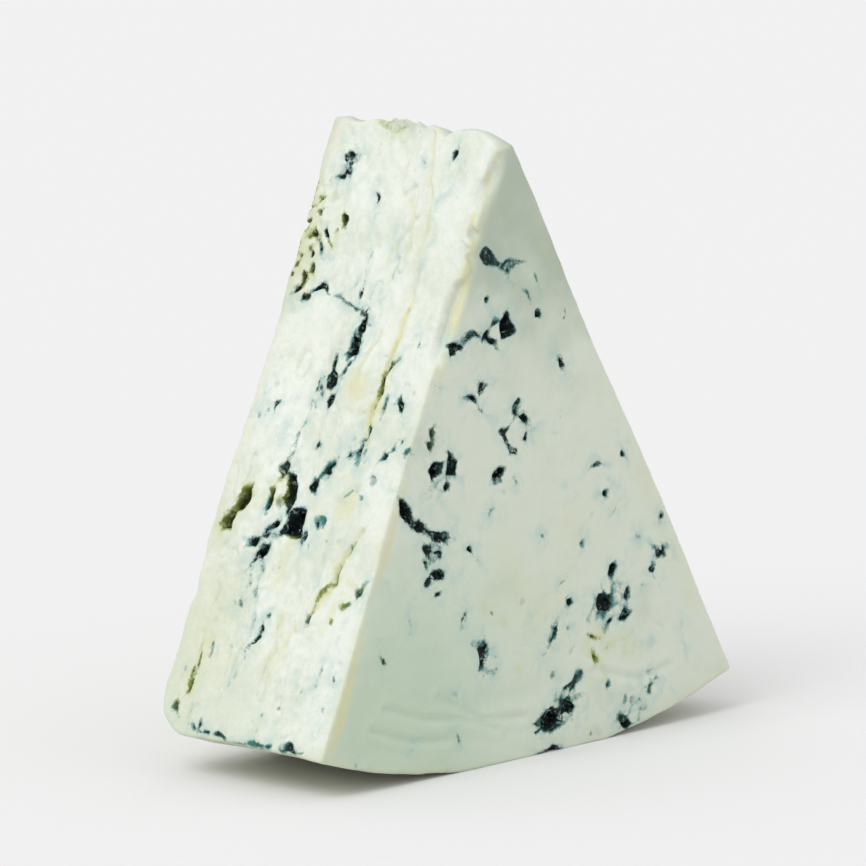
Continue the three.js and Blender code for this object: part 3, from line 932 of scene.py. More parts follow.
class Carver:
    """Carves the wedge and remembers what grows where.

    Attributes:
        FAR: Distance given to whatever is out of reach.
        BAND: How far from a flat its relief is worked out.
        HALO: How far mould tinges the paste round it.
        OVERREACH: How far a cavity may reach from its middle, as a part of its length.
        RIDGE: How much of the ridge is lost at distances in from the cut end.
        solid: Signed distance to the wedge's surface, positive outside.
        mould: Distance from the nearest mould.
        olive: How olive the mould is.
        coarse, middle, fine: Random fields that make every shape a little uneven.
    """

    FAR = 9.0
    BAND = 3.6
    HALO = 3.2
    OVERREACH = 0.7
    RIDGE = ((0, 3.1), (2, 2.5), (4, 2.0), (7, 1.4), (10, 1.9), (12.8, 3.2), (15, 2.4), (17, 1.9), (19, 1.9),
             (20.4, 0.8), (22.6, 0.0), (24.6, 0.6), (27, 2.3), (31, 2.5), (36, 2.6), (39, 3.2))

    def __init__(self, sizes: WedgeSizes, voxel: float, seed: int) -> None:
        """Sets up the block, the random fields and the relief of each side.

        Args:
            sizes: The wedge's sizes.
            voxel: How finely to carve, in millimetres.
            seed: Where the random numbers start.
        """
        self.sizes = sizes
        margin = 2.4
        low = (-sizes.half_width - margin, -sizes.half_depth - margin, -margin)
        high = (sizes.half_width + margin, sizes.half_depth + margin, sizes.axis_height + margin)
        self.block = Block(low, high, voxel)
        self.frames = side_frames(sizes)
        self.fields = RandomFields(seed)
        self.draw = np.random.default_rng(seed + 1)
        maker = ReliefMaker(sizes, self.fields)
        self.reliefs = {
            Side.TORN: maker.torn(), Side.CLEAN: maker.clean(), Side.CUT_END: maker.cut_end(),
            Side.WHEEL_END: maker.wheel_end(), Side.RIND: maker.rind(),
        }
        self.coarse = self._noise(3.0)
        self.middle = self._noise(1.5)
        self.fine = self._noise(0.8)
        self.solid = np.zeros(self.block.shape, np.float32)
        self.mould = np.full(self.block.shape, self.FAR, np.float32)
        self.olive = np.zeros(self.block.shape, np.float32)

    def _noise(self, size: float) -> np.ndarray:
        """A random field through the whole block."""
        return self.fields.field(self.block.shape, self.block.voxel, (size, size, size))

    def _with_relief(self, side: Side, out: np.ndarray, down: np.ndarray, across: np.ndarray) -> np.ndarray:
        """Takes a side's relief off the distance from its bare surface.

        Args:
            side: The side.
            out: Distance out of it at each x and z.
            down: Place down it, or along the rind, at each x and z.
            across: Place across it at each y.

        Returns:
            The distance at every voxel.
        """
        distance = np.repeat(out[:, None, :], across.size, axis=1).astype(np.float32)
        rows, columns = np.nonzero(np.abs(out) < self.BAND)
        relief = self.reliefs[side]
        distance[rows, :, columns] -= relief.sample(
            relief.height, down[rows, columns][:, None], across[None, :])
        return distance

    def _slanted(self, side: Side) -> np.ndarray:
        """Distance out of a slanted side, with its relief.

        Args:
            side: The torn or the clean side.

        Returns:
            The distance at every voxel.
        """
        x, y, z = self.block.axes
        place = self.frames[side]
        flat_x, flat_z = x[:, None] - place.origin[0], z[None, :] - place.origin[2]
        out = flat_x * place.out[0] + flat_z * place.out[2]
        down = flat_x * place.down[0] + flat_z * place.down[2]
        return self._with_relief(side, out, down, y - place.origin[1])

    def _end(self, side: Side) -> np.ndarray:
        """Distance out of a flat end, with its relief.

        Args:
            side: The cut end or the wheel's own end.

        Returns:
            The distance at every voxel.
        """
        x, y, z = self.block.axes
        place = self.frames[side]
        relief = self.reliefs[side]
        height = relief.sample(relief.height, place.origin[2] - z[None, :], x[:, None])
        out = (y - place.origin[1]) * place.out[1]
        return out[None, :, None].astype(np.float32) - height[:, None, :].astype(np.float32)

    def _rind(self) -> np.ndarray:
        """Distance out of the rind, with its relief.

        Returns:
            The distance at every voxel.
        """
        x, y, z = self.block.axes
        fall = self.sizes.bow_height - z[None, :]
        out = np.hypot(x[:, None], fall) - self.sizes.bow
        around = np.arctan2(x[:, None], fall) * self.sizes.bow
        return self._with_relief(Side.RIND, out, around, y + self.sizes.half_depth)

    def _worn_ridge(self) -> np.ndarray:
        """Distance above the worn, slightly crumbled top of the ridge.

        Returns:
            The distance at every voxel.
        """
        _, y, z = self.block.columns()
        wear = np.interp(y + self.sizes.half_depth, *zip(*self.RIDGE))
        return z - (self.sizes.axis_height - wear) + 0.12 * self.coarse + 0.16 * self.middle

    @staticmethod
    def _near_edge(first: np.ndarray, second: np.ndarray, reach: float) -> np.ndarray:
        """1 on the edge where two sides meet, falling to 0 at a reach from it."""
        return np.maximum(reach - np.abs(first - second), 0.0) / reach

    def _chips(self, torn: np.ndarray, cut: np.ndarray, crumble: np.ndarray) -> np.ndarray:
        """How much is chipped off the edge between the torn side and the cut end.

        Args:
            torn: Distance out of the torn side.
            cut: Distance out of the cut end.
            crumble: How crumbly the paste is.

        Returns:
            The loss at every voxel: a crumbled stretch below the tip, and one deep nick in it.
        """
        _, _, z = self.block.columns()
        below = self.sizes.axis_height - z
        stretch = smoothstep(3, 8, below) * (1 - smoothstep(26, 42, below))
        nick = bell(below - 9, 2.4)
        wear = self._near_edge(torn, cut, 3.2) * (0.08 + (0.25 + 2.2 * crumble) * stretch + nick)
        return wear * smoothstep(-3.0, -1.0, np.minimum(torn, cut))

    def shape_wedge(self) -> None:
        """Joins the sides into the wedge, with each edge worn its own way."""
        _, _, z = self.block.columns()
        crisp, blunt, rim = self.sizes.crisp, self.sizes.blunt, self.sizes.rim
        torn, clean = self._slanted(Side.TORN), self._slanted(Side.CLEAN)
        crumble = np.maximum(0.55 * self.coarse + 0.45 * self.middle + 0.25, 0.0)
        solid = soft_max(soft_max(torn, clean, crisp), self._worn_ridge(), crisp)
        cut = self._end(Side.CUT_END)
        solid = soft_max(solid, cut, crisp) + self._chips(torn, cut, crumble)
        wheel, rind = self._end(Side.WHEEL_END), self._rind()
        over_rim = np.hypot(np.maximum(wheel + rim, 0.0), np.maximum(rind + rim, 0.0))
        grown = np.minimum(np.maximum(wheel, rind) + rim, 0.0) + over_rim - rim
        far_edge = self._near_edge(torn, wheel, 1.6) * (torn > -2.5)
        solid = soft_max(solid, grown, blunt) + 0.14 * far_edge * crumble
        self.solid = np.maximum(solid, -z).astype(np.float32)

    def _surface_point(self, side: Side, down: float, across: float) -> np.ndarray:
        """The point of a side's real surface at a place on it.

        Args:
            side: The side.
            down: Distance down from the tip.
            across: Place across.

        Returns:
            The point in the wedge's frame.
        """
        place = self.frames[side]
        relief = self.reliefs[side]
        height = float(relief.sample(relief.height, np.array([down]), np.array([across]))[0])
        return place.origin + place.down * down + place.across * across + place.out * height

    def _local(self, side: Side, turn: float, centre: np.ndarray, window: tuple) -> tuple:
        """Places over a window in a side's own directions, turned on the side, from a point on it.

        Args:
            side: The side.
            turn: How far the first direction is turned from straight down, in degrees.
            centre: The point.
            window: The part of the block.

        Returns:
            The places along, across and out at each voxel.
        """
        place = self.frames[side]
        cosine, sine = math.cos(math.radians(turn)), math.sin(math.radians(turn))
        ways = (place.down * cosine + place.across * sine, place.across * cosine - place.down * sine,
                place.out)
        gaps = self.block.gaps(centre, window)
        return tuple(sum(gap * part for gap, part in zip(gaps, way)) for way in ways)

    def add_cavity(self, cavity: Cavity) -> None:
        """Takes one cavity out of the wedge.

        Args:
            cavity: The cavity.
        """
        centre = self._surface_point(cavity.side, cavity.down, cavity.across)
        window = self.block.window(centre, cavity.length * self.OVERREACH + self.HALO)
        middle, fine = self.middle[window], self.fine[window]
        if middle.size == 0:
            return
        half = (cavity.length / 2, cavity.width / 2, cavity.depth)
        along, aside, out = self._local(cavity.side, cavity.turn, centre, window)
        bend = self.draw.uniform(-0.5, 0.5) * (cavity.form is Form.SLIT)
        aside = aside + bend * half[1] * (2 * np.clip(along / half[0], -1.3, 1.3) ** 2 - 1) + 0.10 * middle
        gaps = (along, aside, out)
        if cavity.form is Form.CLUSTER:
            distance = self._crazed(gaps, half, middle)
        else:
            distance = self._chipped(gaps, half, cavity.form is Form.SLIT)
        distance = distance + 0.12 + 0.12 * fine + 0.06 * middle
        self._take_out(distance.astype(np.float32), window, cavity.mould, cavity.faint)

    def _chipped(self, gaps: Sequence[np.ndarray], half: Sequence[float], slit: bool) -> np.ndarray:
        """Distance from an angular hollow with a few flat walls.

        Args:
            gaps: Places along, across and out of the hollow.
            half: Half of its size in each direction.
            slit: Whether it is drawn out to a point at its ends.

        Returns:
            The distance at each voxel.
        """
        along, aside, out = (gap / size for gap, size in zip(gaps, half))
        walls = int(self.draw.integers(3, 6)) if slit else int(self.draw.integers(4, 7))
        first = math.pi / walls * (1 + self.draw.uniform(-0.2, 0.2)) if slit else self.draw.uniform(0, 6.3)
        reach = -out * self.draw.uniform(0.9, 1.2)
        for index in range(walls):
            angle = first + 2 * math.pi * (index + self.draw.uniform(-0.22, 0.22)) / walls
            face = along * math.cos(angle) + aside * math.sin(angle) - self.draw.uniform(0.0, 0.4) * out
            reach = np.maximum(reach, face / (math.cos(math.pi / walls) * self.draw.uniform(0.9, 1.15)))
        return (reach - 1) * min(half) * 0.8

    def _crazed(self, gaps: Sequence[np.ndarray], half: Sequence[float], middle: np.ndarray) -> np.ndarray:
        """Distance from a patch of paste that is crazed by short angular cracks.

        Args:
            gaps: Places along, across and out of the patch.
            half: Half of its size in each direction.
            middle: Random field over the same voxels.

        Returns:
            The distance at each voxel.
        """
        patch = np.sqrt(sum((gap / size) ** 2 for gap, size in zip(gaps, half)))
        patch = (patch - 1 + 0.22 * middle) * min(half)
        grain = 1.5 + 0.12 * half[0]
        count = int(np.clip(30 * half[0] * half[1] / grain**2 / 4, 8, 30))
        spread = np.array([half[0] + grain, half[1] + grain, grain])
        nearest = np.full(middle.shape, self.FAR)
        second = nearest.copy()
        for _ in range(count):
            seed = self.draw.uniform(-1, 1, 3) * spread
            gap = np.sqrt(sum((gap - place) ** 2 for gap, place in zip(gaps, seed)))
            second = np.minimum(second, np.maximum(gap, nearest))
            nearest = np.minimum(nearest, gap)
        cracks = (second - nearest) / 2 - np.clip(0.17 + 0.26 * middle, -0.4, 0.6)
        return np.maximum(patch, cracks)

    def add_stroke(self, stroke: Stroke) -> None:
        """Scores one thin line into the wedge.

        Args:
            stroke: The line.
        """
        for (d0, a0), (d1, a1) in zip(stroke.route, stroke.route[1:]):
            centre = self._surface_point(stroke.side, (d0 + d1) / 2, (a0 + a1) / 2)
            length = math.hypot(d1 - d0, a1 - a0)
            window = self.block.window(centre, length / 2 + self.HALO)
            coarse, middle, fine = self.coarse[window], self.middle[window], self.fine[window]
            if middle.size == 0:
                continue
            down, across, out = self._local(stroke.side, 0.0, centre, window)
            down = down + 0.35 * middle
            across = across + 0.4 * coarse + 0.2 * fine
            run, rise = (d1 - d0) / length, (a1 - a0) / length
            over = np.maximum(np.abs(down * run + across * rise) - length / 2, 0.0)
            off = np.hypot(over, across * run - down * rise)
            half = stroke.width / 2 * (0.8 + 0.75 * middle)
            distance = np.maximum(off - half, -(out + stroke.depth * (0.7 + 0.3 * fine)))
            self._take_out(distance.astype(np.float32), window, stroke.mould, stroke.faint)

    def _take_out(self, distance: np.ndarray, window: tuple, mould: Mould, faint: float = 0.0) -> None:
        """Cuts a shape from the wedge and lets mould grow round it.

        Args:
            distance: Distance from the shape over the window.
            window: The part of the block.
            mould: What grows there.
            faint: How far the mould keeps away, so that it only tinges the paste.
        """
        self.solid[window] = np.maximum(self.solid[window], -distance)
        near = np.clip(1 - distance / self.HALO, 0, 1)
        self.olive[window] = np.maximum(self.olive[window], near * mould.value)
        self.mould[window] = np.minimum(self.mould[window], distance + faint)

    def add_needle_holes(self, spacing: float, radius: float, depth: float) -> None:
        """Pricks the wheel's own end, as the maker does to let the mould breathe.

        Args:
            spacing: Distance between holes.
            radius: Radius of a hole.
            depth: How deep each goes.
        """
        sizes = self.sizes
        for row in range(1, int(sizes.radius / spacing)):
            reach = int(((row + 0.35) * spacing * math.tan(sizes.half_angle) - 3) / spacing)
            for column in range(-reach, reach + 1):
                down = (row + 0.35 + self.draw.uniform(-0.14, 0.14)) * spacing
                across = (column + 0.5 * (row % 2) + self.draw.uniform(-0.14, 0.14)) * spacing
                girth = radius * self.draw.uniform(0.5, 1.1)
                if math.hypot(down, across) > sizes.radius - sizes.rim - 2 or girth < 0.66 * radius:
                    continue
                centre = self._surface_point(Side.WHEEL_END, down, across)
                window = self.block.window(centre, depth + self.HALO)
                gap_x, gap_y, gap_z = self.block.gaps(centre, window)
                off = np.hypot(gap_x, gap_z) + 0.14 * self.middle[window] - girth
                distance = np.maximum(off, -gap_y - depth)
                self._take_out(distance.astype(np.float32), window, Mould.BLUE)

    def skin(self) -> tuple[np.ndarray, np.ndarray]:
        """Takes the wedge's surface out of the block as one closed mesh.

        Returns:
            The corners in millimetres, and the four corners of each face.
        """
        grid = openvdb.FloatGrid(self.FAR)
        grid.copyFromArray(np.clip(self.solid, -self.FAR, self.FAR), tolerance=0.0)
        corners, faces = grid.convertToQuads(isovalue=0.0)
        faces = self._largest_shell(faces.astype(np.int64), len(corners))
        used, faces = np.unique(faces, return_inverse=True)
        faces = faces.reshape(-1, 4)
        corners = corners[used].astype(np.float64) * self.block.voxel + self.block.low
        corners[:, 2] = np.maximum(corners[:, 2], 0.0)
        a, b, c, d = (corners[faces[:, i]] for i in range(4))
        volume = np.einsum("ij,ij->", a, np.cross(b - a, c - a) + np.cross(c - a, d - a))
        return corners, faces if volume > 0 else faces[:, ::-1]

    @staticmethod
    def _largest_shell(faces: np.ndarray, count: int) -> np.ndarray:
        """Keeps the faces of the largest connected shell, so loose crumbs and sealed pores go.

        Args:
            faces: Corners of every face.
            count: How many corners there are.

        Returns:
            The faces kept.
        """
        label = np.arange(count)
        while True:
            lowest = label[faces].min(axis=1)
            fresh = label.copy()
            for column in range(4):
                np.minimum.at(fresh, faces[:, column], lowest)
            fresh = fresh[fresh]
            if np.array_equal(fresh, label):
                break
            label = fresh
        shell = label[faces[:, 0]]
        names, sizes = np.unique(shell, return_counts=True)
        return faces[shell == names[np.argmax(sizes)]]


# ---- Shader graph ----


class Value:
    """A shader socket with arithmetic that adds Math nodes."""

    def __init__(self, graph: "Graph", socket: bpy.types.NodeSocket) -> None:
        """Wraps a socket of a graph."""
        self.graph = graph
        self.socket = socket

    def _math(self, operation: str, first: "Operand", second: "Operand") -> "Value":
        """Adds one Math node."""
        return self.graph.node("ShaderNodeMath", {"operation": operation}, {0: first, 1: second})

    def __add__(self, other: "Operand") -> "Value":
        """Adds."""
        return self._math("ADD", self, other)

    def __radd__(self, other: "Operand") -> "Value":
        """Adds, with the number first."""
        return self._math("ADD", other, self)

    def __sub__(self, other: "Operand") -> "Value":
        """Subtracts."""
        return self._math("SUBTRACT", self, other)

    def __rsub__(self, other: "Operand") -> "Value":
        """Subtracts from a number."""
        return self._math("SUBTRACT", other, self)

    def __mul__(self, other: "Operand") -> "Value":
        """Multiplies."""
        return self._math("MULTIPLY", self, other)

    def __rmul__(self, other: "Operand") -> "Value":
        """Multiplies, with the number first."""
        return self._math("MULTIPLY", other, self)

    def step(self, low: float, high: float) -> "Value":
        """Goes smoothly from 0 to 1 as the value goes from low to high."""
        return self.graph.node(
            "ShaderNodeMapRange", {"interpolation_type": "SMOOTHSTEP"},
            {"Value": self, "From Min": low, "From Max": high, "To Min": 0.0, "To Max": 1.0})


Operand = Union[Value, float]
Colour = tuple[float, float, float, float]


class Graph:
    """A material's node tree, with one method that adds any node."""

    def __init__(self, name: str) -> None:
        """Starts a material with an empty tree."""
        self.material = bpy.data.materials.new(name)
        self.material.use_nodes = True
        self.tree = self.material.node_tree
        self.tree.nodes.clear()

    def node(self, kind: str, settings: dict, inputs: dict, output: Union[int, str] = 0) -> Value:
        """Adds one node.

        Args:
            kind: The node's type.
            settings: Its own settings, such as a Math node's operation.
            inputs: Values or links for its sockets, by name or number.
            output: The socket to hand back.

        Returns:
            The chosen output.
        """
        made = self.tree.nodes.new(kind)
        for name, setting in settings.items():
            setattr(made, name, setting)
        for key, given in inputs.items():
            if isinstance(given, Value):
                self.tree.links.new(given.socket, made.inputs[key])
            else:
                made.inputs[key].default_value = given
        return Value(self, made.outputs[output]) if len(made.outputs) else Value(self, None)

    def attribute(self, name: str) -> Value:
        """Reads a number stored on the mesh."""
        return self.node("ShaderNodeAttribute", {"attribute_name": name}, {}, "Fac")

    def noise(self, size: float, detail: float = 2.0, roughness: float = 0.5, warp: float = 0.0) -> Value:
        """Noise with features of a size in millimetres, through the body of the cheese."""
        place = self.node("ShaderNodeTexCoord", {}, {}, "Object")
        return self.node("ShaderNodeTexNoise", {}, {
            "Vector": place, "Scale": 1 / (size * MM), "Detail": detail, "Roughness": roughness,
            "Distortion": warp})

    def mix(self, factor: Operand, first: Union[Value, Colour], second: Union[Value, Colour]) -> Value:
        """Mixes two colours."""
        return self.node("ShaderNodeMix", {"data_type": "RGBA"}, {0: factor, 6: first, 7: second}, 2)


def colour(code: str) -> Colour:
    """Turns a screen colour written in hex into the renderer's own numbers.

    Args:
        code: Six hex digits.

    Returns:
        Red, green, blue and alpha.
    """
    parts = [int(code[i:i + 2], 16) / 255 for i in (0, 2, 4)]
    return tuple(c / 12.92 if c <= 0.04045 else ((c + 0.055) / 1.055) ** 2.4 for c in parts) + (1.0,)


@dataclass(frozen=True)
class CheeseFinish:
    """How the cheese looks.

    Attributes:
        torn: Colour of the torn paste.
        torn_dense_and_shade: The torn paste in random denser patches, and also low down towards the wheel end
            as painted shade.
        cut: Colour of the cut paste.
        cut_shade: The cut paste towards the tip, and where mould has tinged it.
        cut_green: The cut paste low down, by the torn side.
        rind: Colour of the rind.
        cream: Colour of the creamy seams.
        halo: Paste tinged by blue mould.
        olive_halo: Paste tinged by olive mould.
        teal: Blue mould on an open wall.
        olive: Olive mould on an open wall.
        black_mould_and_shade: Blue mould deep in a cavity, darkened to near black as painted shade.
        dim_mould_and_shade: The same where it is thinner, also darkened as painted shade.
        dark_olive_and_shade: Olive mould deep in a cavity, darkened as painted shade.
    """

    torn: Colour = colour("DFE3DA")
    torn_dense_and_shade: Colour = colour("CFD5C4")
    cut: Colour = colour("D3DACB")
    cut_shade: Colour = colour("AFBAA8")
    cut_green: Colour = colour("B8CBB4")
    rind: Colour = colour("D0D0B0")
    cream: Colour = colour("D3D0A0")
    halo: Colour = colour("A5C3BF")
    olive_halo: Colour = colour("C3C994")
    teal: Colour = colour("3B7A74")
    olive: Colour = colour("7C8A3E")
    black_mould_and_shade: Colour = colour("061516")
    dim_mould_and_shade: Colour = colour("1D4340")
    dark_olive_and_shade: Colour = colour("2A3312")

    def _paste(self, graph: Graph, crumbs: Value) -> Value:
        """Colours the bare paste: torn, cut, rind and creamy seams.

        Args:
            graph: The material's graph.
            crumbs: Noise the size of crumbs.

        Returns:
            The colour.
        """
        patches = graph.noise(14, 3, 0.55)
        place = graph.node("ShaderNodeTexCoord", {}, {}, "Object")
        sideways, inwards, upwards = (graph.node("ShaderNodeSeparateXYZ", {}, {0: place}, axis)
                                      for axis in range(3))
        low = 1 - upwards.step(8 * MM, 56 * MM)
        # Painted shade: besides random patches and crumbs, the torn paste takes its darker tone low down and
        # towards the wheel end.
        shaded = patches * 0.5 + crumbs * 0.35 + low * inwards.step(-12 * MM, 16 * MM) * 0.16
        torn_paste = graph.mix(shaded.step(0.34, 0.58), self.torn, self.torn_dense_and_shade)
        shaded = patches * 0.7 + upwards.step(46 * MM, 94 * MM) * 0.38
        cut_paste = graph.mix(shaded.step(0.38, 0.72), self.cut, self.cut_shade)
        green = low * (1 - sideways.step(-36 * MM, 22 * MM)) * (0.3 + patches + crumbs * 0.4)
        cut_paste = graph.mix(green.step(0.0, 1.0) * 0.85, cut_paste, self.cut_green)
        paste = graph.mix(graph.attribute("torn"), cut_paste, torn_paste)
        paste = graph.mix(graph.attribute("rind") * 0.7, paste, self.rind)
        creamy = graph.attribute("cream") * (0.7 + crumbs * 0.6)
        return graph.mix(creamy.step(0.05, 0.95), paste, self.cream)

    def _tinged(self, graph: Graph, paste: Value, mould: Value, olive: Value, ragged: Value) -> Value:
        """Tinges the paste near mould, with a few faint veins.

        Args:
            graph: The material's graph.
            paste: Colour of the bare paste.
            mould: Distance from the nearest mould.
            olive: How olive the mould is.
            ragged: The same distance, made ragged.

        Returns:
            The colour.
        """
        tinge = (1 - ragged.step(0.0, 2.4)) * graph.noise(2.4, 3, 0.6, 0.6).step(0.38, 0.66)
        halo = graph.mix(olive.step(0.15, 0.7), self.halo, self.olive_halo)
        paste = graph.mix(tinge * 0.6, paste, halo)
        veins = graph.noise(7, 4, 0.6, 0.8) - 0.5
        vein_line = 1 - (veins * veins).step(0.0, 0.0008)
        vein_zone = (1 - mould.step(1.0, 6.0)) * graph.noise(9, 2).step(0.46, 0.62)
        return graph.mix(vein_line * vein_zone * 0.14, paste, halo)

    def build(self) -> bpy.types.Material:
        """Builds the material.

        Returns:
            The finished material.
        """
        graph = Graph("blue_cheese")
        torn, rind = graph.attribute("torn"), graph.attribute("rind")
        mould, olive = graph.attribute("mould"), graph.attribute("olive")
        crumbs = graph.noise(1.6, 4, 0.6)
        specks = graph.noise(0.6, 3, 0.65)
        ragged = mould + (specks - 0.5) * 0.8 + (crumbs - 0.5) * 0.7
        paste = self._tinged(graph, self._paste(graph, crumbs), mould, olive, ragged)

        bloom = graph.mix(olive.step(0.25, 0.75), self.teal, self.olive)
        # Painted shade: a cavity's wall goes from the mould's own teal or olive near the surface to near
        # black where it lies deeper below the side, on top of the mould's own dark tone.
        deep_blue_and_shade = graph.mix((crumbs * 0.5 + specks * 0.5).step(0.5, 0.64), self.black_mould_and_shade, self.dim_mould_and_shade)
        deep = graph.mix(olive.step(0.25, 0.75), deep_blue_and_shade, self.dark_olive_and_shade)
        buried = graph.attribute("buried")
        blue_depth_shade = (buried + (specks - 0.5) * 0.7).step(-0.12, 0.4)
        olive_depth_shade = (buried + (crumbs - 0.5) * 3.4).step(0.2, 1.8)
        growth_and_shade = graph.mix(blue_depth_shade * (1 - olive) + olive_depth_shade * olive, bloom, deep)
        fringe = (1 - ragged.step(0.02, 0.5)) * graph.noise(1.3, 3, 0.6, 0.4).step(0.36, 0.52)
        core = 1 - (mould + (specks - 0.5) * 0.5).step(0.02, 0.2)
        sparkle = graph.noise(1.1, 2, 0.5, 0.6).step(0.58, 0.62) * 0.85
        skin = graph.mix(fringe * 0.85, paste, bloom)
        skin = graph.mix(core * (1 - sparkle), skin, growth_and_shade)

        grain = graph.noise(0.45, 3, 0.6)
        bumps = grain * (0.3 + torn * 0.7) + crumbs * (0.45 + torn)
        bump = graph.node("ShaderNodeBump", {}, {"Strength": 0.35, "Distance": 0.25 * MM, "Height": bumps})
        rough = 0.44 + torn * 0.14 + rind * 0.1 + core * 0.25 + (crumbs - 0.5) * 0.2
        shader = graph.node("ShaderNodeBsdfPrincipled", {}, {
            "Base Color": skin, "Roughness": rough, "Normal": bump, "IOR": 1.42,
            "Subsurface Weight": 0.2, "Subsurface Radius": (1.0, 0.85, 0.55), "Subsurface Scale": 1.2 * MM})
        graph.node("ShaderNodeOutputMaterial", {}, {"Surface": shader})
        return graph.material


@dataclass(frozen=True)
class FloorFinish:
    """The plain pale floor.

    Attributes:
        tone: Its colour.
    """

    tone: Colour = (0.765, 0.765, 0.765, 1.0)

    def build(self) -> bpy.types.Material:
        """Builds the material.

        Returns:
            The finished material.
        """
        graph = Graph("pale_floor")
        shader = graph.node("ShaderNodeBsdfDiffuse", {}, {"Color": self.tone})
        graph.node("ShaderNodeOutputMaterial", {}, {"Surface": shader})
        return graph.material


# ---- The wedge in the scene ----


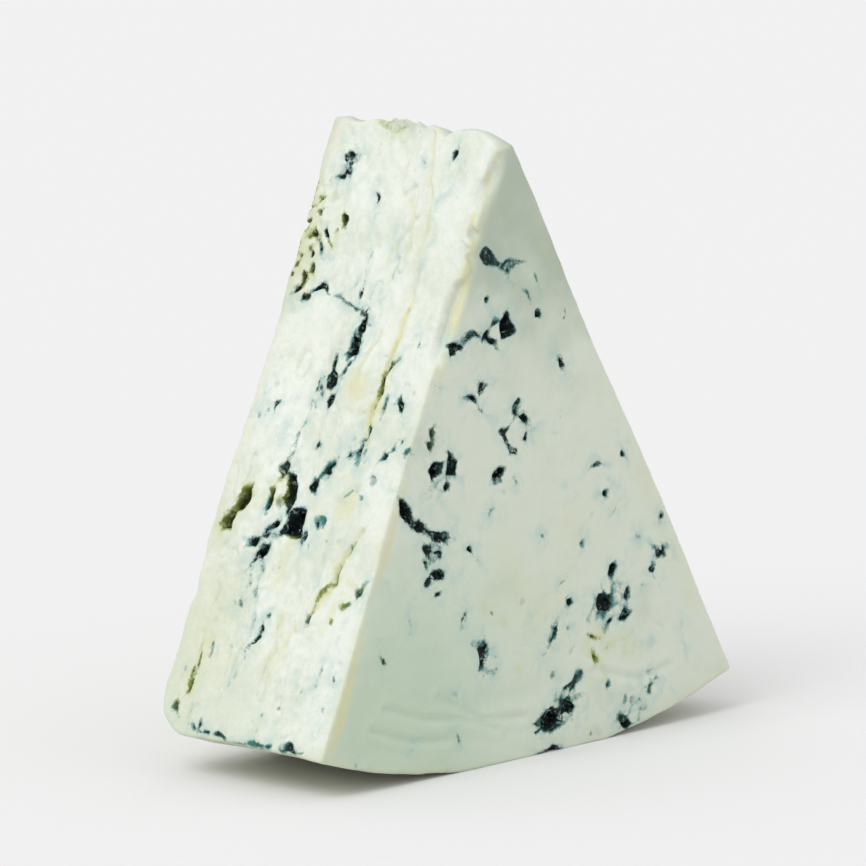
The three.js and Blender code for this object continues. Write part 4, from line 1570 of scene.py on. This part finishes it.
@dataclass
class CheeseWedge:
    """The wedge of cheese: one closed mesh and its finish.

    Attributes:
        sizes: Its sizes.
        voxel: How finely it is carved, in millimetres.
        seed: Where its random fields start.
        finish: How it looks.
        blend: How far the looks of two sides run into each other, in millimetres.
        strewn: Mould strewn over each side besides the cavities that have their own places.
    """

    sizes: WedgeSizes
    voxel: float = 0.27
    seed: int = 7
    finish: CheeseFinish = field(default_factory=CheeseFinish)
    blend: float = 0.8
    strewn: tuple[Scatter, ...] = (
        Scatter(Side.CLEAN, 60, 21, 1.2, 6.5, lean=26, slim=0.28, margin=1.4),
        Scatter(Side.CLEAN, 80, 25, 1.0, 5.0, lean=22, slim=0.16, faint=0.3),
        Scatter(Side.WHEEL_END, 30, 22, 0.8, 4.0, lean=70, slim=0.3),
        Scatter(Side.WHEEL_END, 40, 26, 0.8, 3.2, lean=80, slim=0.2, faint=0.35),
        Scatter(Side.TORN, 8, 23, 0.7, 1.2, lean=24, slim=0.4),
        Scatter(Side.TORN, 36, 27, 0.8, 2.0, lean=24, slim=0.2, faint=0.3),
        Scatter(Side.CUT_END, 10, 24, 0.7, 1.2, lean=70, slim=0.5),
        Scatter(Side.CUT_END, 34, 28, 0.7, 1.8, lean=70, slim=0.3, faint=0.35),
    )

    def carve(self) -> Carver:
        """Carves the wedge with all of its mould.

        Returns:
            The carver, with its block worked.
        """
        carver = Carver(self.sizes, self.voxel, self.seed)
        carver.shape_wedge()
        cavities = torn_cavities() + cut_end_cavities()
        for scatter in self.strewn:
            cavities += scatter.cavities(self.sizes)
        for cavity in cavities:
            carver.add_cavity(cavity)
        for stroke in torn_strokes() + cut_end_strokes():
            carver.add_stroke(stroke)
        carver.add_needle_holes(spacing=15.0, radius=0.85, depth=4.0)
        return carver

    def build(self) -> bpy.types.Object:
        """Builds the wedge's object.

        Returns:
            The object, dressed and in place.
        """
        carver = self.carve()
        corners, faces = carver.skin()
        mesh = bpy.data.meshes.new("cheese")
        mesh.from_pydata((corners * MM).tolist(), [], faces.tolist())
        mesh.update()
        mesh.shade_smooth()
        self._store_numbers(mesh, carver, corners)
        self._lay_out(mesh, corners, faces)
        piece = bpy.data.objects.new("cheese_body", mesh)
        bpy.context.scene.collection.objects.link(piece)
        piece.data.materials.append(self.finish.build())
        return piece

    def _on_sides(self, points: np.ndarray) -> np.ndarray:
        """Gives points their places on each side, in the order of Side.

        Args:
            points: Places in the wedge's frame, one row each.

        Returns:
            Down, across and out of each side for each point, with the rind's length for down.
        """
        sizes = self.sizes
        places = [place.local(points) for place in side_frames(sizes).values()]
        x, fall = points[:, 0], sizes.bow_height - points[:, 2]
        places.append(np.stack([np.arctan2(x, fall) * sizes.bow, points[:, 1] + sizes.half_depth,
                                np.hypot(x, fall) - sizes.bow], axis=1))
        return np.stack(places)

    def _store_numbers(self, mesh: bpy.types.Mesh, carver: Carver, corners: np.ndarray) -> None:
        """Stores on the mesh what the finish needs to know.

        Args:
            mesh: The mesh.
            carver: What was carved.
            corners: The mesh's corners in millimetres.
        """
        places = self._on_sides(corners)
        gaps = places[:, :, 2]
        nearness = np.exp(-np.abs(gaps) / self.blend)
        share = dict(zip(Side, nearness / nearness.sum(axis=0)))
        cream = np.zeros(len(corners))
        for side, place in zip(carver.frames, places):
            relief = carver.reliefs[side]
            cream += share[side] * relief.sample(relief.cream, place[:, 0], place[:, 1])
        numbers = {
            "mould": carver.block.sample(carver.mould, corners),
            "olive": carver.block.sample(carver.olive, corners),
            # How deep each corner lies below the sides, which the finish uses to paint shade into the
            # cavities.
            "buried": np.maximum(-gaps.max(axis=0), 0.0),
            "cream": cream,
            "torn": share[Side.TORN],
            "rind": share[Side.RIND] + 0.8 * share[Side.WHEEL_END],
        }
        for name, values in numbers.items():
            layer = mesh.attributes.new(name, "FLOAT", "POINT")
            layer.data.foreach_set("value", values.astype(np.float32))

    def _lay_out(self, mesh: bpy.types.Mesh, corners: np.ndarray, faces: np.ndarray) -> None:
        """Lays the five sides out flat, side by side, for the finish to be baked on.

        Args:
            mesh: The mesh.
            corners: Its corners in millimetres.
            faces: The corners of each face.
        """
        sizes, gutter = self.sizes, 2.0
        width, depth = 2 * sizes.half_width, 2 * sizes.half_depth
        page = width * 1.5 + depth + 5 * gutter
        middles = corners[faces].mean(axis=1)
        nearest = np.abs(self._on_sides(middles)[:, :, 2]).argmin(axis=0)
        torn, clean, cut, wheel, rind = self._on_sides(corners)
        column = width * 1.5 + 3 * gutter
        row = sizes.radius + 2 * gutter
        places = [
            (column + torn[:, 1], gutter + torn[:, 0]),
            (gutter + clean[:, 0], row + gutter + clean[:, 1]),
            (gutter + sizes.half_width + cut[:, 1], gutter + cut[:, 0]),
            (2 * gutter + width + wheel[:, 1], gutter + sizes.radius - wheel[:, 0]),
            (gutter + sizes.half_width + rind[:, 0], row + 2 * gutter + depth + rind[:, 1]),
        ]
        layer = mesh.uv_layers.new(name="OFBake")
        sheet = np.zeros((len(faces), 4, 2), np.float32)
        for index, (u, v) in enumerate(places):
            mine = nearest == index
            sheet[mine] = np.stack([u[faces[mine]], v[faces[mine]]], axis=2) / page
        layer.data.foreach_set("uv", sheet.ravel())


@dataclass(frozen=True)
class Studio:
    """The plain pale floor, the soft light and the camera.

    Attributes:
        turn: The camera's direction round the wedge, in degrees.
        rise: The camera's height angle, in degrees.
        roll: How far the camera leans, in degrees.
        away: Distance from the camera to the wedge, in metres.
        framed: Height of the picture at the wedge, in metres.
    """

    turn: float = -42.0
    rise: float = 11.4
    roll: float = 2.27
    away: float = 4.5
    framed: float = 0.134

    def build_floor(self) -> bpy.types.Object:
        """Makes the floor.

        Returns:
            The floor's object.
        """
        mesh = bpy.data.meshes.new("floor")
        reach, count = 60.0, 96
        rim = [(reach * math.cos(2 * math.pi * i / count), reach * math.sin(2 * math.pi * i / count), 0.0)
               for i in range(count)]
        mesh.from_pydata(rim, [], [list(range(count))])
        floor = bpy.data.objects.new("floor", mesh)
        bpy.context.scene.collection.objects.link(floor)
        mesh.materials.append(FloorFinish().build())
        return floor

    def light(self) -> None:
        """Sets a pale surround and a soft sun from the torn side."""
        world = bpy.data.worlds.new("surround")
        world.use_nodes = True
        world.node_tree.nodes["Background"].inputs["Color"].default_value = (0.87, 0.87, 0.87, 1.0)
        bpy.context.scene.world = world
        self._lamp("SUN", "key", (-0.62, -0.10, 0.77), 1.15, math.radians(36))

    @staticmethod
    def _lamp(kind: str, name: str, towards: Sequence[float], strength: float, spread: float) -> None:
        """Adds a distant lamp.

        Args:
            kind: The lamp's type.
            name: Its name.
            towards: Direction from the wedge to the lamp.
            strength: Its strength.
            spread: Its angular size, in radians.
        """
        lamp = bpy.data.lights.new(name, kind)
        lamp.energy = strength
        lamp.angle = spread
        holder = bpy.data.objects.new(name, lamp)
        holder.rotation_euler = Vector(towards).to_track_quat("Z", "Y").to_euler()
        bpy.context.scene.collection.objects.link(holder)

    def aim_camera(self) -> bpy.types.Object:
        """Places the camera.

        Returns:
            The camera's object.
        """
        low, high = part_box(NODE)
        centre = (low + high) / 2
        turn, rise = math.radians(self.turn), math.radians(self.rise)
        back = Vector((math.sin(turn) * math.cos(rise), -math.cos(turn) * math.cos(rise), math.sin(rise)))
        camera = bpy.data.cameras.new("camera")
        camera.lens = camera.sensor_width * self.away / self.framed
        camera.clip_end = 200.0
        holder = bpy.data.objects.new("camera", camera)
        lean = Matrix.Rotation(-math.radians(self.roll), 4, "Z")
        holder.matrix_world = (Matrix.Translation(centre + back * self.away)
                               @ back.to_track_quat("Z", "Y").to_matrix().to_4x4() @ lean)
        bpy.context.scene.collection.objects.link(holder)
        bpy.context.scene.camera = holder
        return holder


def main() -> None:
    """Builds the scene and reports each piece."""
    logging.basicConfig(level=logging.INFO, format="%(name)s: %(message)s")
    scene = bpy.context.scene
    scene.view_settings.view_transform = "Standard"
    studio = Studio()
    studio.aim_camera()
    studio.build_floor()
    studio.light()
    sizes = WedgeSizes.from_frame()
    piece = CheeseWedge(sizes).build()
    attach(piece, "root")
    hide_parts(NODE)
    LOG.info("%s: %d corners, %d faces", piece.name, len(piece.data.vertices), len(piece.data.polygons))


if __name__ == "__main__":
    main()
